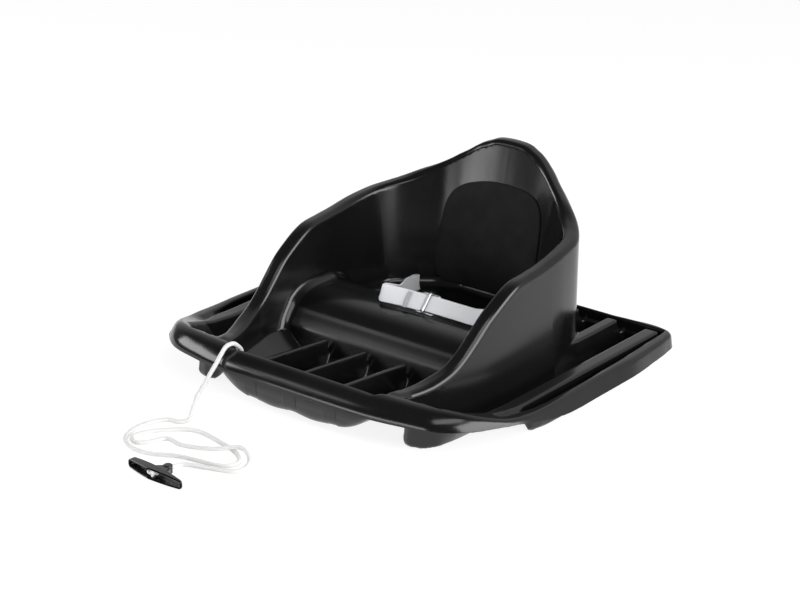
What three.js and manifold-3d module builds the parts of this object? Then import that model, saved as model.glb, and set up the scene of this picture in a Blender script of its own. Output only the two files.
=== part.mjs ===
// A baby pull sled: one thin moulded body with a bucket seat, a foam back pad,
// a two-part lap belt with its slide, and a braided pull cord with a T-handle.
// Millimetres, +Z up, front towards -Y, the runners on z = 0.
import * as THREE from "three";
import { mergeVertices } from "three/addons/utils/BufferGeometryUtils.js";
import Module from "manifold-3d";

const wasm = await Module();
wasm.setup();

// Overall sizes of the moulding.
const halfWidth = 277;
const frontReach = 238;
const rearReach = 236;
const backHeight = 243;
const wall = 3;
const clearance = 0.3;
const overrun = 2;

// The deck and its skirt: heights of the hem and the top, and how far each side leans in.
const skirtHem = 17;
const deckTop = 36;
const lipHem = 38;
const lipTop = 63;
const sideLean = 9;
const rearLean = 8;
const lipLean = 24;
const skirtSteps = 44;

// The seat: its outer half width, rim width and inner drafts, and its floor levels.
const seatHalfWidth = 179;
const backFoot = 228;
const rimBand = 21;
const sideDraft = 0.185;
const backDraft = 0.229;
const wellDraft = 0.15;
const humpTop = 77;
const panTop = 40;
const panFront = 70;
const panRear = 161;
const panFillet = 8.3;
const toeRise = 4;
const wellFloor = 8;
const wellHalfWidth = 117;
const bilgeTop = 37;
const bilgeDraw = 47;
const footStep = 0.4;
const lipStep = 0.6;

// The fins on the foot-well floor.
const finPitch = 64;
const finTopWidth = 6;
const finBaseWidth = 16;
const finFrontTop = 61.5;
const finRearTop = 43;
const finTip = -77;
const finHeel = -98;
const coreCrest = -200;
const coreToe = -228;
const cutReach = 262;

// The runner channels pressed into the deck.
const channelFloor = 3;
const crossFloor = 20;

// The back pad.
const padWidth = 172;
const padHeight = 138;
const padShift = -3;
const padFoot = 50;
const padCrown = 8;
const padEdge = 2.6;
const padTopShare = 0.65;
const padFootShare = 0.36;
const padEdgeShare = 0.31;

// The lap belt and its slide.
const beltWidth = 25;
const beltThickness = 1.6;
const slideBar = 3;
const slideDepth = 2.2;
const slideReach = 30;
const slotClearance = 0.9;
const anchorDepth = 6;
const anchorHeight = 34;
const anchorLength = 16;
const anchorSetback = 5;

// The pull cord and its handle.
const cordDiameter = 5.6;
const cordSides = 10;
const cordSteps = 80;
const cordHole = 8;
const knotDiameter = 14;
const knotHeight = 12.6;
const handleLength = 93;
const handleHeight = 15;
const handleDepth = 12.5;
const handleWall = 2;
const neckDiameter = 11;
const neckReach = 13;
const stemWidth = 23;
const handleKnot = 8;
const handleTurn = -8;
const gripWaistShare = 0.72;

const cordRoute = [
  [-128, -188, 44], [-118, -189, 45], [-108, -194, 51], [-103, -202, 60.5], [-103, -211, 67.3],
  [-106, -222, 66], [-109, -231, 58], [-112, -241, 48], [-112, -254, 38], [-107, -271, 30],
  [-100, -290, 25], [-93, -306, 16], [-89, -318, 6], [-97, -326, 3.4], [-113, -331, 3.4],
  [-124, -350, 3.4], [-126, -376, 3.4], [-116, -401, 3.4], [-94, -415, 3.4], [-66, -415, 3.4],
  [-30, -398, 3.4], [30, -384, 3.4], [37, -368, 3.4], [22, -352, 3.4],
  [-20, -338, 3.4], [-66, -333, 3.4], [-90, -350, 3.4], [-109, -375, 3.4], [-112, -393, 3.4],
  [-98, -402, 3.4], [-86, -391, 3.4], [-76, -371, 3.4], [-50, -373, 3.4], [-10, -361, 5.4],
  [22, -345, 10.2], [48, -360, 4.6], [52, -384, 3.4], [18, -400, 3.4], [-8, -416, 6],
];
const neckPoint = new THREE.Vector3(-10, -438, 8);

// Outline of the skirt, right half from front to rear: shares of the half width and of
// the front reach (negative) or the rear reach (positive).
const skirtShares = [
  [0, -1], [0.2, -1], [0.427, -0.992], [0.607, -0.962], [0.794, -0.903], [0.918, -0.773],
  [0.995, -0.529], [1.007, -0.252], [1, 0.084], [0.993, 0.523], [0.978, 0.679],
  [0.96, 0.848], [0.935, 0.95], [0.85, 0.996], [0.6, 1], [0, 1],
];

// How much of the lean the sides keep by share of the reach, and the rear by share of
// the half width: the rear corners stand nearly upright.
const sideLeanShares = [[0.35, 1], [0.85, 0.2]];
const rearLeanShares = [[0.6, 1], [0.9, 0.2]];

// Side view of the deck's top and of the skirt's hem: shares of the reach, and of the
// rise from the deck to the lip or from the hem at the sides to the hem at the lip.
const deckRiseShares = [
  [-1.2, 1], [-0.9, 1], [-0.84, 0.907], [-0.786, 0.8], [-0.714, 0.593], [-0.63, 0.35],
  [-0.542, 0.148], [-0.437, 0.055], [-0.336, 0], [1.2, 0],
];
const hemRiseShares = [
  [-1.2, 1], [-0.84, 1], [-0.68, 0.92], [-0.529, 0.76], [-0.39, 0.48], [-0.252, 0.19],
  [-0.126, 0.05], [0, 0], [1.2, 0],
];

// Outline of the seat, right half from the arm's front end to the back's middle.
const seatShares = [
  [0.816, -0.853], [0.838, -0.811], [0.866, -0.748], [0.894, -0.685], [0.922, -0.618],
  [0.95, -0.517], [0.978, -0.361], [0.994, -0.21], [1, -0.013], [1, 0.224], [0.989, 0.401],
  [0.95, 0.565], [0.894, 0.641], [0.81, 0.717], [0.698, 0.793], [0.587, 0.861],
  [0.475, 0.911], [0.363, 0.958], [0.251, 0.983], [0.112, 0.998], [0, 1],
];

// Heights of the seat's rim as shares of the back height: seen from the side by share of
// the reach, and seen from behind by share of the seat's half width.
const rimSideShares = [
  [-1, 0.12], [-0.86, 0.235], [-0.82, 0.253], [-0.748, 0.256], [-0.685, 0.262],
  [-0.618, 0.276], [-0.517, 0.31],
  [-0.437, 0.358], [-0.361, 0.42], [-0.256, 0.51], [-0.176, 0.56], [-0.084, 0.609],
  [-0.013, 0.634], [0.105, 0.646], [0.224, 0.658], [0.401, 0.687], [0.565, 0.716],
  [0.633, 0.733], [0.7, 0.765], [0.76, 0.845], [0.82, 1.03], [1.2, 1.03],
];
const rimBackShares = [
  [0, 1], [0.14, 0.992], [0.195, 0.976], [0.251, 0.959], [0.307, 0.934], [0.363, 0.905],
  [0.419, 0.88], [0.475, 0.852], [0.587, 0.807], [0.698, 0.778], [0.81, 0.753],
  [0.894, 0.735], [0.95, 0.723], [1.1, 0.723],
];

// Front of the foot-well, right half from the middle: shares of its half width and reach.
const wellShares = [
  [0, -1.034], [0.6, -1.025], [0.81, -0.992], [0.95, -0.924], [1, -0.866], [1.06, -0.819],
];

// Side view of the seat's floor behind the foot-well: shares of the rear reach, and of
// the hump's height.
const humpShares = [
  [-0.422, 0.104], [-0.388, 0.234], [-0.333, 0.558], [-0.308, 0.584], [-0.24, 0.844],
  [-0.169, 0.948], [-0.097, 1], [0.105, 1], [0.16, 0.909], [0.219, 0.65], [0.262, 0.545],
];

// Channel outlines at the deck and at the floor: shares of the half width and reach.
const runnerTopShares = [
  [0.646, 0.935], [0.646, 0.3], [0.433, 0.1], [0.433, -0.785], [0.578, -0.785], [0.704, -0.757], [0.769, -0.686],
  [0.801, -0.567], [0.805, -0.42], [0.805, 0.935],
];
const runnerFloorShares = [
  [0.668, 0.935], [0.668, 0.3], [0.433, 0.1], [0.433, -0.828], [0.578, -0.828], [0.668, -0.798], [0.715, -0.735],
  [0.736, -0.63], [0.74, -0.42], [0.74, 0.935],
];
const outerTopShares = [
  [0.877, 0.935], [0.877, -0.4], [0.87, -0.54], [0.892, -0.513], [0.917, -0.4],
  [0.931, -0.231], [0.931, 0.127], [0.92, 0.464], [0.906, 0.696], [0.892, 0.935],
];
const outerFloorShares = [
  [0.89, 0.935], [0.89, -0.252], [0.89, -0.32], [0.899, -0.311], [0.911, -0.252],
  [0.92, -0.168], [0.92, 0.127], [0.911, 0.464], [0.902, 0.696], [0.894, 0.935],
];
const rearTopShares = [[0.426, 0.935], [0.426, 0.633], [0.588, 0.633], [0.588, 0.935]];
const rearFloorShares = [[0.447, 0.935], [0.447, 0.61], [0.567, 0.61], [0.567, 0.935]];
const crossTopShares = [[0.25, 0.945], [0.25, 0.914], [0.888, 0.914], [0.888, 0.945]];
const crossFloorShares = [[0.25, 0.938], [0.25, 0.922], [0.888, 0.922], [0.888, 0.938]];

// Side view of the runners' floor: shares of the reach and of the channel floor.
const rockerShares = [
  [-1.2, 5], [-0.81, 4.3], [-0.756, 3.3], [-0.504, 1.9], [-0.252, 1.2], [-0.05, 1], [1.2, 1],
];

// Stations of the belt's lower edge: shares of the seat's half width, of the rear reach
// and of the hump's height, then the lean from upright in degrees.
const leftBeltShares = [
  [-0.636, 0.596, 0.55, 84], [-0.5, 0.469, 0.55, 80], [-0.335, 0.32, 0.62, 55],
  [-0.17, 0.22, 0.92, 20], [-0.123, 0.127, 1.06, 4], [-0.134, 0.03, 1.066, 12],
  [-0.115, -0.008, 1.066, 24], [-0.06, -0.031, 1.066, 36], [0.03, -0.036, 1.066, 42],
  [0.175, -0.036, 1.066, 42],
];
const rightBeltShares = [
  [0.636, 0.596, 0.55, -84], [0.545, 0.51, 0.55, -80], [0.52, 0.42, 0.57, -72],
  [0.55, 0.31, 0.68, -40], [0.62, 0.2, 0.95, -12], [0.69, 0.09, 1.05, -4],
  [0.7, -0.005, 1.066, -16], [0.62, -0.034, 1.066, -36], [0.48, -0.036, 1.066, -42],
  [0.33, -0.036, 1.066, -42], [0.183, -0.036, 1.066, -42],
];
const tailShares = [
  [-0.21, 0.12, 1.066, 0], [-0.24, 0.06, 1.066, 0], [-0.225, 0, 1.066, 2],
  [-0.18, -0.037, 1.066, 14], [-0.1, -0.047, 1.066, 32], [0.02, -0.0485, 1.066, 42],
  [0.155, -0.0485, 1.066, 42],
];

// A plain material of one colour.
function finish(colour, roughness, metalness) {
  return new THREE.MeshStandardMaterial({ color: colour, roughness, metalness });
}

// Named mesh from a geometry and a material.
function piece(name, geometry, material) {
  const mesh = new THREE.Mesh(geometry, material);
  mesh.name = name;
  return mesh;
}

// Smooth curve through plan or profile points.
function smooth(points, steps) {
  const curve = new THREE.CatmullRomCurve3(
    points.map(([a, b]) => new THREE.Vector3(a, b, 0)), false, "centripetal");
  return curve.getPoints(steps).map((p) => [p.x, p.y]);
}

// A reach share times the front or the rear reach.
function reach(share) {
  return share < 0 ? share * frontReach : share * rearReach;
}

// Straight-line reading of a table at a place.
function readTable(rows, at) {
  let index = rows.findIndex(([place]) => place > at);
  index = index < 0 ? rows.length - 1 : Math.max(index, 1);
  const [from, low] = rows[index - 1];
  const [to, high] = rows[index];
  const share = THREE.MathUtils.clamp((at - from) / (to - from), 0, 1);
  return low + (high - low) * share;
}

// Right half outline, front to rear, closed by its mirror image: counter-clockwise.
function mirrored(half) {
  const left = half.filter(([x]) => x > 0).map(([x, y]) => [-x, y]).reverse();
  return [...half, ...left];
}

// A manifold solid from a three.js geometry.
function toSolid(geometry) {
  geometry.deleteAttribute("normal");
  geometry.deleteAttribute("uv");
  const merged = mergeVertices(geometry);
  return new wasm.Manifold(new wasm.Mesh({
    numProp: 3,
    vertProperties: merged.getAttribute("position").array,
    triVerts: Uint32Array.from(merged.index.array),
  }));
}

// A three.js geometry from a manifold solid.
function toGeometry(solid) {
  const mesh = solid.getMesh();
  const geometry = new THREE.BufferGeometry();
  geometry.setAttribute("position", new THREE.BufferAttribute(mesh.vertProperties, mesh.numProp));
  geometry.setIndex(new THREE.BufferAttribute(mesh.triVerts, 1));
  geometry.computeVertexNormals();
  return geometry;
}

// A closed skin over rings of equal count, with a cap at each end.
function skin(rings, caps) {
  const count = rings[0].length;
  const index = [];
  for (let r = 0; r + 1 < rings.length; r += 1) {
    for (let i = 0; i < count; i += 1) {
      const a = r * count + i;
      const b = r * count + (i + 1) % count;
      index.push(a, b, b + count, a, b + count, a + count);
    }
  }
  const last = (rings.length - 1) * count;
  for (const [a, b, c] of caps) {
    index.push(c, b, a, last + a, last + b, last + c);
  }
  const geometry = new THREE.BufferGeometry();
  geometry.setAttribute("position", new THREE.Float32BufferAttribute(rings.flat(2), 3));
  geometry.setIndex(index);
  return geometry;
}

// A solid between plan outlines of equal count, each at its own height.
function loft(outlines, heights) {
  const rings = outlines.map((ring, r) => ring.map(([x, y]) => [x, y, heights[r]]));
  const flat = outlines[0].map(([x, y]) => new THREE.Vector2(x, y));
  return toSolid(skin(rings, THREE.ShapeUtils.triangulateShape(flat, [])));
}

// A bar of a side-view (y, z) outline across the whole width.
function sideBar(points) {
  const shape = new THREE.Shape(points.map(([y, z]) => new THREE.Vector2(y, z)));
  const width = 2 * (halfWidth + frontReach);
  const geometry = new THREE.ExtrudeGeometry(shape, { depth: width, bevelEnabled: false });
  geometry.rotateY(Math.PI / 2);
  geometry.rotateX(Math.PI / 2);
  geometry.translate(-width / 2, 0, 0);
  return toSolid(geometry);
}

// A bar of a rear-view (x, z) outline along the whole length.
function backBar(points) {
  const shape = new THREE.Shape(points.map(([x, z]) => new THREE.Vector2(x, z)));
  const length = 2 * (frontReach + rearReach);
  const geometry = new THREE.ExtrudeGeometry(shape, { depth: length, bevelEnabled: false });
  geometry.rotateX(Math.PI / 2);
  geometry.translate(0, length / 2, 0);
  return toSolid(geometry);
}

// Moves each point of a chain to its right by a distance, corners mitred.
function offsetChain(points, distance, closed) {
  const count = points.length;
  const normal = (a, b) => {
    const length = Math.hypot(b[0] - a[0], b[1] - a[1]);
    return [(b[1] - a[1]) / length, (a[0] - b[0]) / length];
  };
  return points.map((point, i) => {
    const before = closed || i > 0 ? points[(i - 1 + count) % count] : null;
    const after = closed || i < count - 1 ? points[(i + 1) % count] : null;
    const n1 = before ? normal(before, point) : normal(point, after);
    const n2 = after ? normal(point, after) : n1;
    const scale = distance / (1 + n1[0] * n2[0] + n1[1] * n2[1]);
    return [point[0] + (n1[0] + n2[0]) * scale, point[1] + (n1[1] + n2[1]) * scale];
  });
}

// The skirt's outline at a height, drawn in by an inset.
function skirtOutline(height, inset) {
  const rise = (height - skirtHem) / (deckTop - skirtHem);
  const front = frontReach - lipLean * (height - lipHem) / (lipTop - lipHem);
  const lipInset = inset * Math.hypot(lipLean, lipTop - lipHem) / (lipTop - lipHem);
  const half = smooth(skirtShares, skirtSteps).map(([x, y]) => {
    const side = halfWidth - sideLean * readTable(sideLeanShares, y) * rise;
    const rear = rearReach - rearLean * readTable(rearLeanShares, x) * rise;
    return [x * (side - inset), y < 0 ? y * (front - lipInset) : y * (rear - inset)];
  });
  half[0][0] = 0;
  half[half.length - 1][0] = 0;
  return mirrored(half);
}

// The deck as a full block, or the hollow below it when an inset is given.
function deckBlock(inset, hemmed) {
  const low = -overrun;
  const high = lipTop + overrun;
  const block = loft([skirtOutline(low, inset), skirtOutline(high, inset)], [low, high]);
  const top = deckRiseShares.map(([y, rise]) => [
    reach(y), deckTop + rise * (lipTop - deckTop) - inset]).reverse();
  const hem = hemRiseShares.map(([y, rise]) => [
    reach(y), skirtHem + rise * (lipHem - skirtHem)]);
  const foot = [[reach(-1.2), low - overrun], [reach(1.2), low - overrun]];
  return block.intersect(sideBar([...(hemmed ? hem : foot), ...top]));
}

// The seat's outer outline at its foot or its top, drawn in by an inset.
function seatOutline(rear, inset) {
  const half = seatShares.map(([x, y]) => [
    x * seatHalfWidth, y < 0 ? y * frontReach : y * rear]);
  return offsetChain(mirrored(half), -inset, true);
}

// The seat as a full block, with its rim profile or tall, or its hollow with an inset.
function seatBlock(inset, shaped) {
  const low = -overrun;
  const high = backHeight + overrun;
  const outlines = [seatOutline(backFoot, inset), seatOutline(rearReach, inset)];
  const block = loft(outlines, [low, high]);
  if (!shaped) {
    return block;
  }
  const side = rimSideShares.map(([y, z]) => [reach(y), z * backHeight - inset]).reverse();
  const back = rimBackShares.map(([x, z]) => [x * seatHalfWidth, z * backHeight - inset]);
  const left = back.filter(([x]) => x > 0).map(([x, z]) => [-x, z]).reverse();
  const base = low - overrun;
  return block
    .intersect(sideBar([[reach(-1), base], [reach(1.2), base], ...side]))
    .intersect(backBar([
      [-cutReach, base], [cutReach, base], [cutReach, back[back.length - 1][1]],
      ...[...left, ...back].reverse(), [-cutReach, back[back.length - 1][1]]]));
}

// Where the seat's inner wall starts at the rim, with its slope and outward direction.
function innerLines() {
  const half = seatShares.slice(3).map(([x, y]) => [x * seatHalfWidth, reach(y)]);
  const front = wellShares.map(([x, y]) => [x * wellHalfWidth, y * frontReach]);
  const outer = mirrored(half);
  const directions = offsetChain(outer, 1, true).map(([x, y], i) => [
    x - outer[i][0], y - outer[i][1]]);
  const seatLines = half.map(([x, y], i) => {
    const [nx, ny] = i > 0 ? directions[i] : [1, 0];
    const side = readTable(rimSideShares, y < 0 ? y / frontReach : y / rearReach);
    const back = readTable(rimBackShares, x / seatHalfWidth);
    return {
      at: [x - nx * rimBand, y - ny * rimBand],
      out: [nx, ny],
      level: Math.min(side, back) * backHeight,
      slope: y < 0 ? sideDraft : THREE.MathUtils.lerp(sideDraft, backDraft, Math.abs(ny)),
    };
  });
  const frontOut = offsetChain(front, 1, false).map(([x, y], i) => [
    x - front[i][0], y - front[i][1]]);
  frontOut[0] = [0, -1];
  const wellLines = front.map((at, i) => (
    { at, out: frontOut[i], level: lipTop, slope: wellDraft }));
  return [...wellLines, ...seatLines];
}

// Plan outline of the seat's inner wall at a height, moved out by a spread.
function innerOutline(height, spread) {
  const half = innerLines().map(({ at, out, level, slope }) => {
    const shift = slope * (height - level) + spread;
    return [at[0] + out[0] * shift, at[1] + out[1] * shift];
  });
  half[0][0] = 0;
  half[half.length - 1][0] = 0;
  return mirrored(half);
}

// Side view of the seat's inside: lip, foot-well floor, riser, hump, pan and back fillet.
function floorChain() {
  const lipShift = (wall + lipStep) * Math.hypot(lipLean, lipTop - lipHem) / (lipTop - lipHem);
  const lipFoot = lipShift - frontReach;
  const lipRun = lipLean * (lipTop + overrun - lipHem) / (lipTop - lipHem);
  const hump = humpShares.map(([y, z]) => [y * rearReach, z * humpTop]);
  return [
    [lipFoot + lipRun, backHeight + 2 * overrun],
    [lipFoot + lipRun, lipTop + overrun],
    [lipFoot, lipHem],
    [lipFoot + 0.5 * toeRise, wellFloor + 1.5 * toeRise],
    [lipFoot + 1.5 * toeRise, wellFloor + 0.4 * toeRise],
    [lipFoot + 3 * toeRise, wellFloor],
    ...hump,
    [panFront, panTop],
    [panRear, panTop],
    [panRear + 0.5 * panFillet, panTop + 0.15 * panFillet],
    [panRear + 0.85 * panFillet, panTop + 0.5 * panFillet],
    [panRear + 1.05 * panFillet, panTop + 0.95 * panFillet],
    [rearReach, panTop + panFillet],
  ];
}

// The room inside the seat and foot-well, or that room with its wall when spread.
function seatRoom(spread) {
  const low = -overrun;
  const high = backHeight + overrun;
  const bilge = innerOutline(bilgeTop, spread);
  const foot = innerOutline(0, spread).map(([x, y]) => [x * (1 - bilgeDraw / wellHalfWidth), y]);
  const block = loft([foot, foot, bilge, innerOutline(high, spread)], [low, 0, bilgeTop, high]);
  const chain = offsetChain(floorChain(), spread, false);
  const end = chain[chain.length - 1];
  const ceiling = backHeight + 2 * overrun;
  chain[0][1] = ceiling;
  return block.intersect(sideBar([...chain, [end[0], ceiling]]));
}

// One tapered fin, or the hollow inside it when an inset is given.
function finBlock(centre, inset) {
  const half = (width) => width / 2 - inset;
  const outline = (width) => [
    [centre - half(width), -cutReach], [centre + half(width), -cutReach],
    [centre + half(width), 0], [centre - half(width), 0]];
  const blade = loft([outline(finBaseWidth), outline(finTopWidth)], [-2 * overrun, finFrontTop]);
  const rear = finHeel - inset;
  const solid = [
    [-cutReach, wellFloor - wall / 2], [rear, wellFloor - wall / 2], [rear, wellFloor],
    [finTip, finRearTop], [-cutReach, finFrontTop]];
  const core = [
    [-cutReach, -overrun], [rear, -overrun], [rear, wellFloor],
    [finTip - inset, finRearTop - inset], [coreCrest, finFrontTop - 3 * inset],
    [coreToe, wellFloor + 2 * inset], [-cutReach, wellFloor + 2 * inset]];
  const profile = inset > 0 ? core : solid;
  return blade.intersect(sideBar(profile));
}

// A channel between its outline at the deck and at the floor, spread by its wall.
function channel(topShares, lowShares, floorLevel, side, spread) {
  const place = (shares) => shares.map(([x, y]) => [x * halfWidth, reach(y)]);
  const top = offsetChain(place(topShares), spread, true);
  const low = offsetChain(place(lowShares), spread, true);
  const at = (height) => {
    const ring = low.map(([x, y], i) => [
      x + (top[i][0] - x) * height / deckTop, y + (top[i][1] - y) * height / deckTop]);
    return side > 0 ? ring : ring.map(([x, y]) => [-x, y]).reverse();
  };
  const high = lipTop + overrun;
  const block = loft([at(0), at(0), at(high)], [-overrun, 0, high]);
  const floor = rockerShares.map(([y, z]) => [
    reach(y), Math.max(z * channelFloor, floorLevel) - spread]);
  return block.intersect(sideBar([...floor, [reach(1.2), high], [reach(-1.2), high]]));
}

// All the channels of both sides, kept clear of the seat's foot.
function channels(spread) {
  const seatFoot = seatBlock(spread > 0 ? spread + footStep : -footStep, false);
  let all = null;
  for (const side of [-1, 1]) {
    const group = [
      channel(runnerTopShares, runnerFloorShares, channelFloor, side, spread),
      channel(outerTopShares, outerFloorShares, channelFloor, side, spread),
      channel(rearTopShares, rearFloorShares, channelFloor, side, spread),
      channel(crossTopShares, crossFloorShares, crossFloor, side, spread),
    ];
    for (const member of group) {
      all = all ? all.add(member) : member;
    }
  }
  return all.subtract(seatFoot);
}

// The point on the seat's inner back wall at an arc share from the middle and a height.
function backWallPoint(along, height) {
  const outline = innerOutline(height, 0).filter(([, y]) => y > 0);
  const middle = outline.findIndex(([x]) => x === 0);
  const step = along < 0 ? 1 : -1;
  let left = Math.abs(along);
  let index = middle;
  while (outline[index + step]) {
    const [ax, ay] = outline[index];
    const [bx, by] = outline[index + step];
    const length = Math.hypot(bx - ax, by - ay);
    if (left <= length) {
      const share = left / length;
      return new THREE.Vector3(ax + (bx - ax) * share, ay + (by - ay) * share, height);
    }
    left -= length;
    index += step;
  }
  const [x, y] = outline[index];
  return new THREE.Vector3(x, y, height);
}

// Whether a plan point lies inside a closed outline.
function isInside(point, outline) {
  let inside = false;
  outline.forEach(([ax, ay], i) => {
    const [bx, by] = outline[(i + 1) % outline.length];
    if (ay > point.y !== by > point.y) {
      const crossing = ax + (bx - ax) * (point.y - ay) / (by - ay);
      inside = point.x < crossing ? !inside : inside;
    }
  });
  return inside;
}

// The place of a belt's end, set back behind the seat's inner wall.
function pastWall(from, towards) {
  const outline = innerOutline(towards.z, wall);
  const step = towards.clone().sub(from).setZ(0).setLength(clearance);
  const at = from.clone().setZ(towards.z);
  while (isInside(at, outline)) {
    at.add(step);
  }
  return at.addScaledVector(step.normalize(), anchorSetback);
}

// Frame of a belt station: lower edge, direction along, direction up the band, and across.
function beltStations(shares, steps, anchored) {
  const place = shares.map(([x, y, z, lean]) => ({
    at: new THREE.Vector3(x * seatHalfWidth, y * rearReach, z * humpTop), lean }));
  if (anchored) {
    place[0].at = pastWall(place[1].at, place[0].at);
  }
  const curve = new THREE.CatmullRomCurve3(place.map(({ at }) => at), false, "centripetal");
  const stations = [];
  for (let i = 0; i <= steps; i += 1) {
    const share = i / steps;
    const at = curve.getPoint(share);
    const along = curve.getTangent(share);
    const flat = new THREE.Vector3(along.x, along.y, 0).normalize();
    const back = new THREE.Vector3(-flat.y, flat.x, 0);
    const lean = readTable(place.map((row, k) => [k / (place.length - 1), row.lean]), share);
    const angle = THREE.MathUtils.degToRad(lean);
    const up = new THREE.Vector3(0, 0, Math.cos(angle)).addScaledVector(back, Math.sin(angle));
    const across = new THREE.Vector3().crossVectors(flat, up);
    stations.push({ at, flat, up, across });
  }
  return stations;
}

// A band of the belt on edge through its stations.
function beltBand(stations) {
  const half = beltThickness / 2;
  const rings = stations.map(({ at, up, across }) => {
    const corner = (side, height) => at.clone()
      .addScaledVector(across, side * half).addScaledVector(up, height).toArray();
    return [corner(1, 0), corner(-1, 0), corner(-1, beltWidth), corner(1, beltWidth)];
  });
  return skin(rings, [[0, 1, 2], [0, 2, 3]]);
}

// A box set by its middle, sizes and the three directions of a belt station.
function stationBox(station, middle, sizes) {
  const box = new THREE.BoxGeometry(sizes.x, sizes.y, sizes.z);
  const inward = station.across.clone().negate();
  const frame = new THREE.Matrix4().makeBasis(station.flat, inward, station.up);
  box.applyMatrix4(frame.setPosition(middle));
  return toSolid(box);
}

// The cut for a belt's end through the seat's inner wall.
function beltSlot(station) {
  const middle = station.at.clone().addScaledVector(station.up, beltWidth / 2);
  return stationBox(station, middle, new THREE.Vector3(
    2 * (anchorLength + wall), beltThickness + 2 * slotClearance, beltWidth + 2 * slotClearance));
}

// The stopper block on a belt's end behind the wall.
function beltAnchor(station, sign) {
  const middle = station.at.clone().addScaledVector(station.up, beltWidth / 2)
    .addScaledVector(station.flat, sign * (anchorDepth / 2 + clearance));
  return toGeometry(stationBox(station, middle, new THREE.Vector3(
    anchorDepth, anchorLength, anchorHeight)));
}

// The belt slide: two bars behind the band, one bar before it, joined above and below.
function beltSlide(station) {
  const play = clearance + beltThickness / 2;
  const height = beltWidth + 2 * clearance;
  const bar = (along, side, wide, tall) => {
    const middle = station.at.clone()
      .addScaledVector(station.up, beltWidth / 2 + tall.offset)
      .addScaledVector(station.flat, along)
      .addScaledVector(station.across, -side * (play + slideDepth / 2));
    return stationBox(station, middle, new THREE.Vector3(wide, slideDepth, tall.size));
  };
  const full = { offset: 0, size: height + 2 * slideBar };
  const spread = slideReach / 2 - slideBar / 2;
  let frame = bar(-spread, -1, slideBar, full).add(bar(spread, -1, slideBar, full));
  frame = frame.add(bar(0, 1, slideBar, full));
  for (const end of [-1, 1]) {
    const middle = station.at.clone()
      .addScaledVector(station.up, beltWidth / 2 + end * (height / 2 + slideBar / 2));
    const rail = stationBox(station, middle, new THREE.Vector3(
      slideBar, 2 * (play + slideDepth), slideBar));
    frame = frame.add(rail);
    frame = frame.add(bar(0, -1, slideReach, { offset: end * (height + slideBar) / 2, size: slideBar }));
  }
  return toGeometry(frame);
}

// The thin foam pad on the back wall, crowned and drawn in to its edge.
function backPad() {
  const columns = 24;
  const rows = 20;
  const front = [];
  const rear = [];
  for (let r = 0; r <= rows; r += 1) {
    for (let c = 0; c <= columns; c += 1) {
      const u = 2 * c / columns - 1;
      const v = 2 * r / rows - 1;
      const squareX = u * Math.sqrt(1 - v * v / 2);
      const squareY = v * Math.sqrt(1 - u * u / 2);
      const roundness = v > 0 ? padTopShare : padFootShare;
      const x = THREE.MathUtils.lerp(u, squareX, roundness);
      const y = THREE.MathUtils.lerp(v, squareY, roundness);
      const height = padFoot + padHeight * (y + 1) / 2;
      const along = padShift + x * padWidth / 2;
      const base = backWallPoint(along, height);
      const beside = backWallPoint(along + overrun, height);
      const above = backWallPoint(along, height + overrun);
      const normal = new THREE.Vector3().crossVectors(
        above.sub(base), beside.sub(base)).normalize();
      if (normal.y > 0) {
        normal.negate();
      }
      const edge = Math.min(1 - Math.abs(u), 1 - Math.abs(v));
      const crown = Math.sin(Math.min(edge / padEdgeShare, 1) * Math.PI / 2);
      const rise = padEdge + (padCrown - padEdge) * crown;
      rear.push(base.clone().addScaledVector(normal, 3 * clearance).toArray());
      front.push(base.clone().addScaledVector(normal, 3 * clearance + rise).toArray());
    }
  }
  const index = [];
  const width = columns + 1;
  const total = rear.length;
  const quad = (a, b, c, d) => index.push(a, c, b, a, d, c);
  for (let r = 0; r < rows; r += 1) {
    for (let c = 0; c < columns; c += 1) {
      const a = r * width + c;
      quad(a, a + 1, a + 1 + width, a + width);
      quad(total + a, total + a + width, total + a + 1 + width, total + a + 1);
    }
  }
  for (let c = 0; c < columns; c += 1) {
    const top = rows * width + c;
    quad(c, total + c, total + c + 1, c + 1);
    quad(top, top + 1, total + top + 1, total + top);
  }
  for (let r = 0; r < rows; r += 1) {
    const left = r * width;
    const right = left + columns;
    quad(left, left + width, total + left + width, total + left);
    quad(right, total + right, total + right + width, right + width);
  }
  const geometry = new THREE.BufferGeometry();
  geometry.setAttribute("position", new THREE.Float32BufferAttribute([...rear, ...front].flat(), 3));
  geometry.setIndex(index);
  geometry.computeVertexNormals();
  return geometry;
}

// The moulded body: a skin of one thickness, pressed into channels, seat and fins.
function sledShell(slots) {
  const roof = deckBlock(0, false).add(seatBlock(0, true));
  const hollow = deckBlock(wall, false).add(seatBlock(wall, true));
  let body = deckBlock(0, true).add(seatBlock(0, true).subtract(
    sideBar([[reach(-1.2), -2 * overrun], [reach(1.2), -2 * overrun], [reach(1.2), deckTop - wall],
      [reach(-1.2), deckTop - wall]])));
  body = body.subtract(hollow);
  const rooms = seatRoom(wall).add(channels(wall)).intersect(roof);
  body = body.add(rooms);
  let fins = null;
  let cores = null;
  for (const place of [-1, 0, 1]) {
    const fin = finBlock(place * finPitch, 0);
    const core = finBlock(place * finPitch, wall);
    fins = fins ? fins.add(fin) : fin;
    cores = cores ? cores.add(core) : core;
  }
  body = body.subtract(seatRoom(0).subtract(fins));
  body = body.subtract(channels(0));
  body = body.subtract(cores);
  for (const slot of slots) {
    body = body.subtract(slot);
  }
  const hole = new THREE.CylinderGeometry(cordHole / 2, cordHole / 2, 8 * wall, 16);
  hole.rotateZ(Math.PI / 2);
  hole.translate(...cordRoute[0]);
  return body.subtract(toSolid(hole));
}

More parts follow.
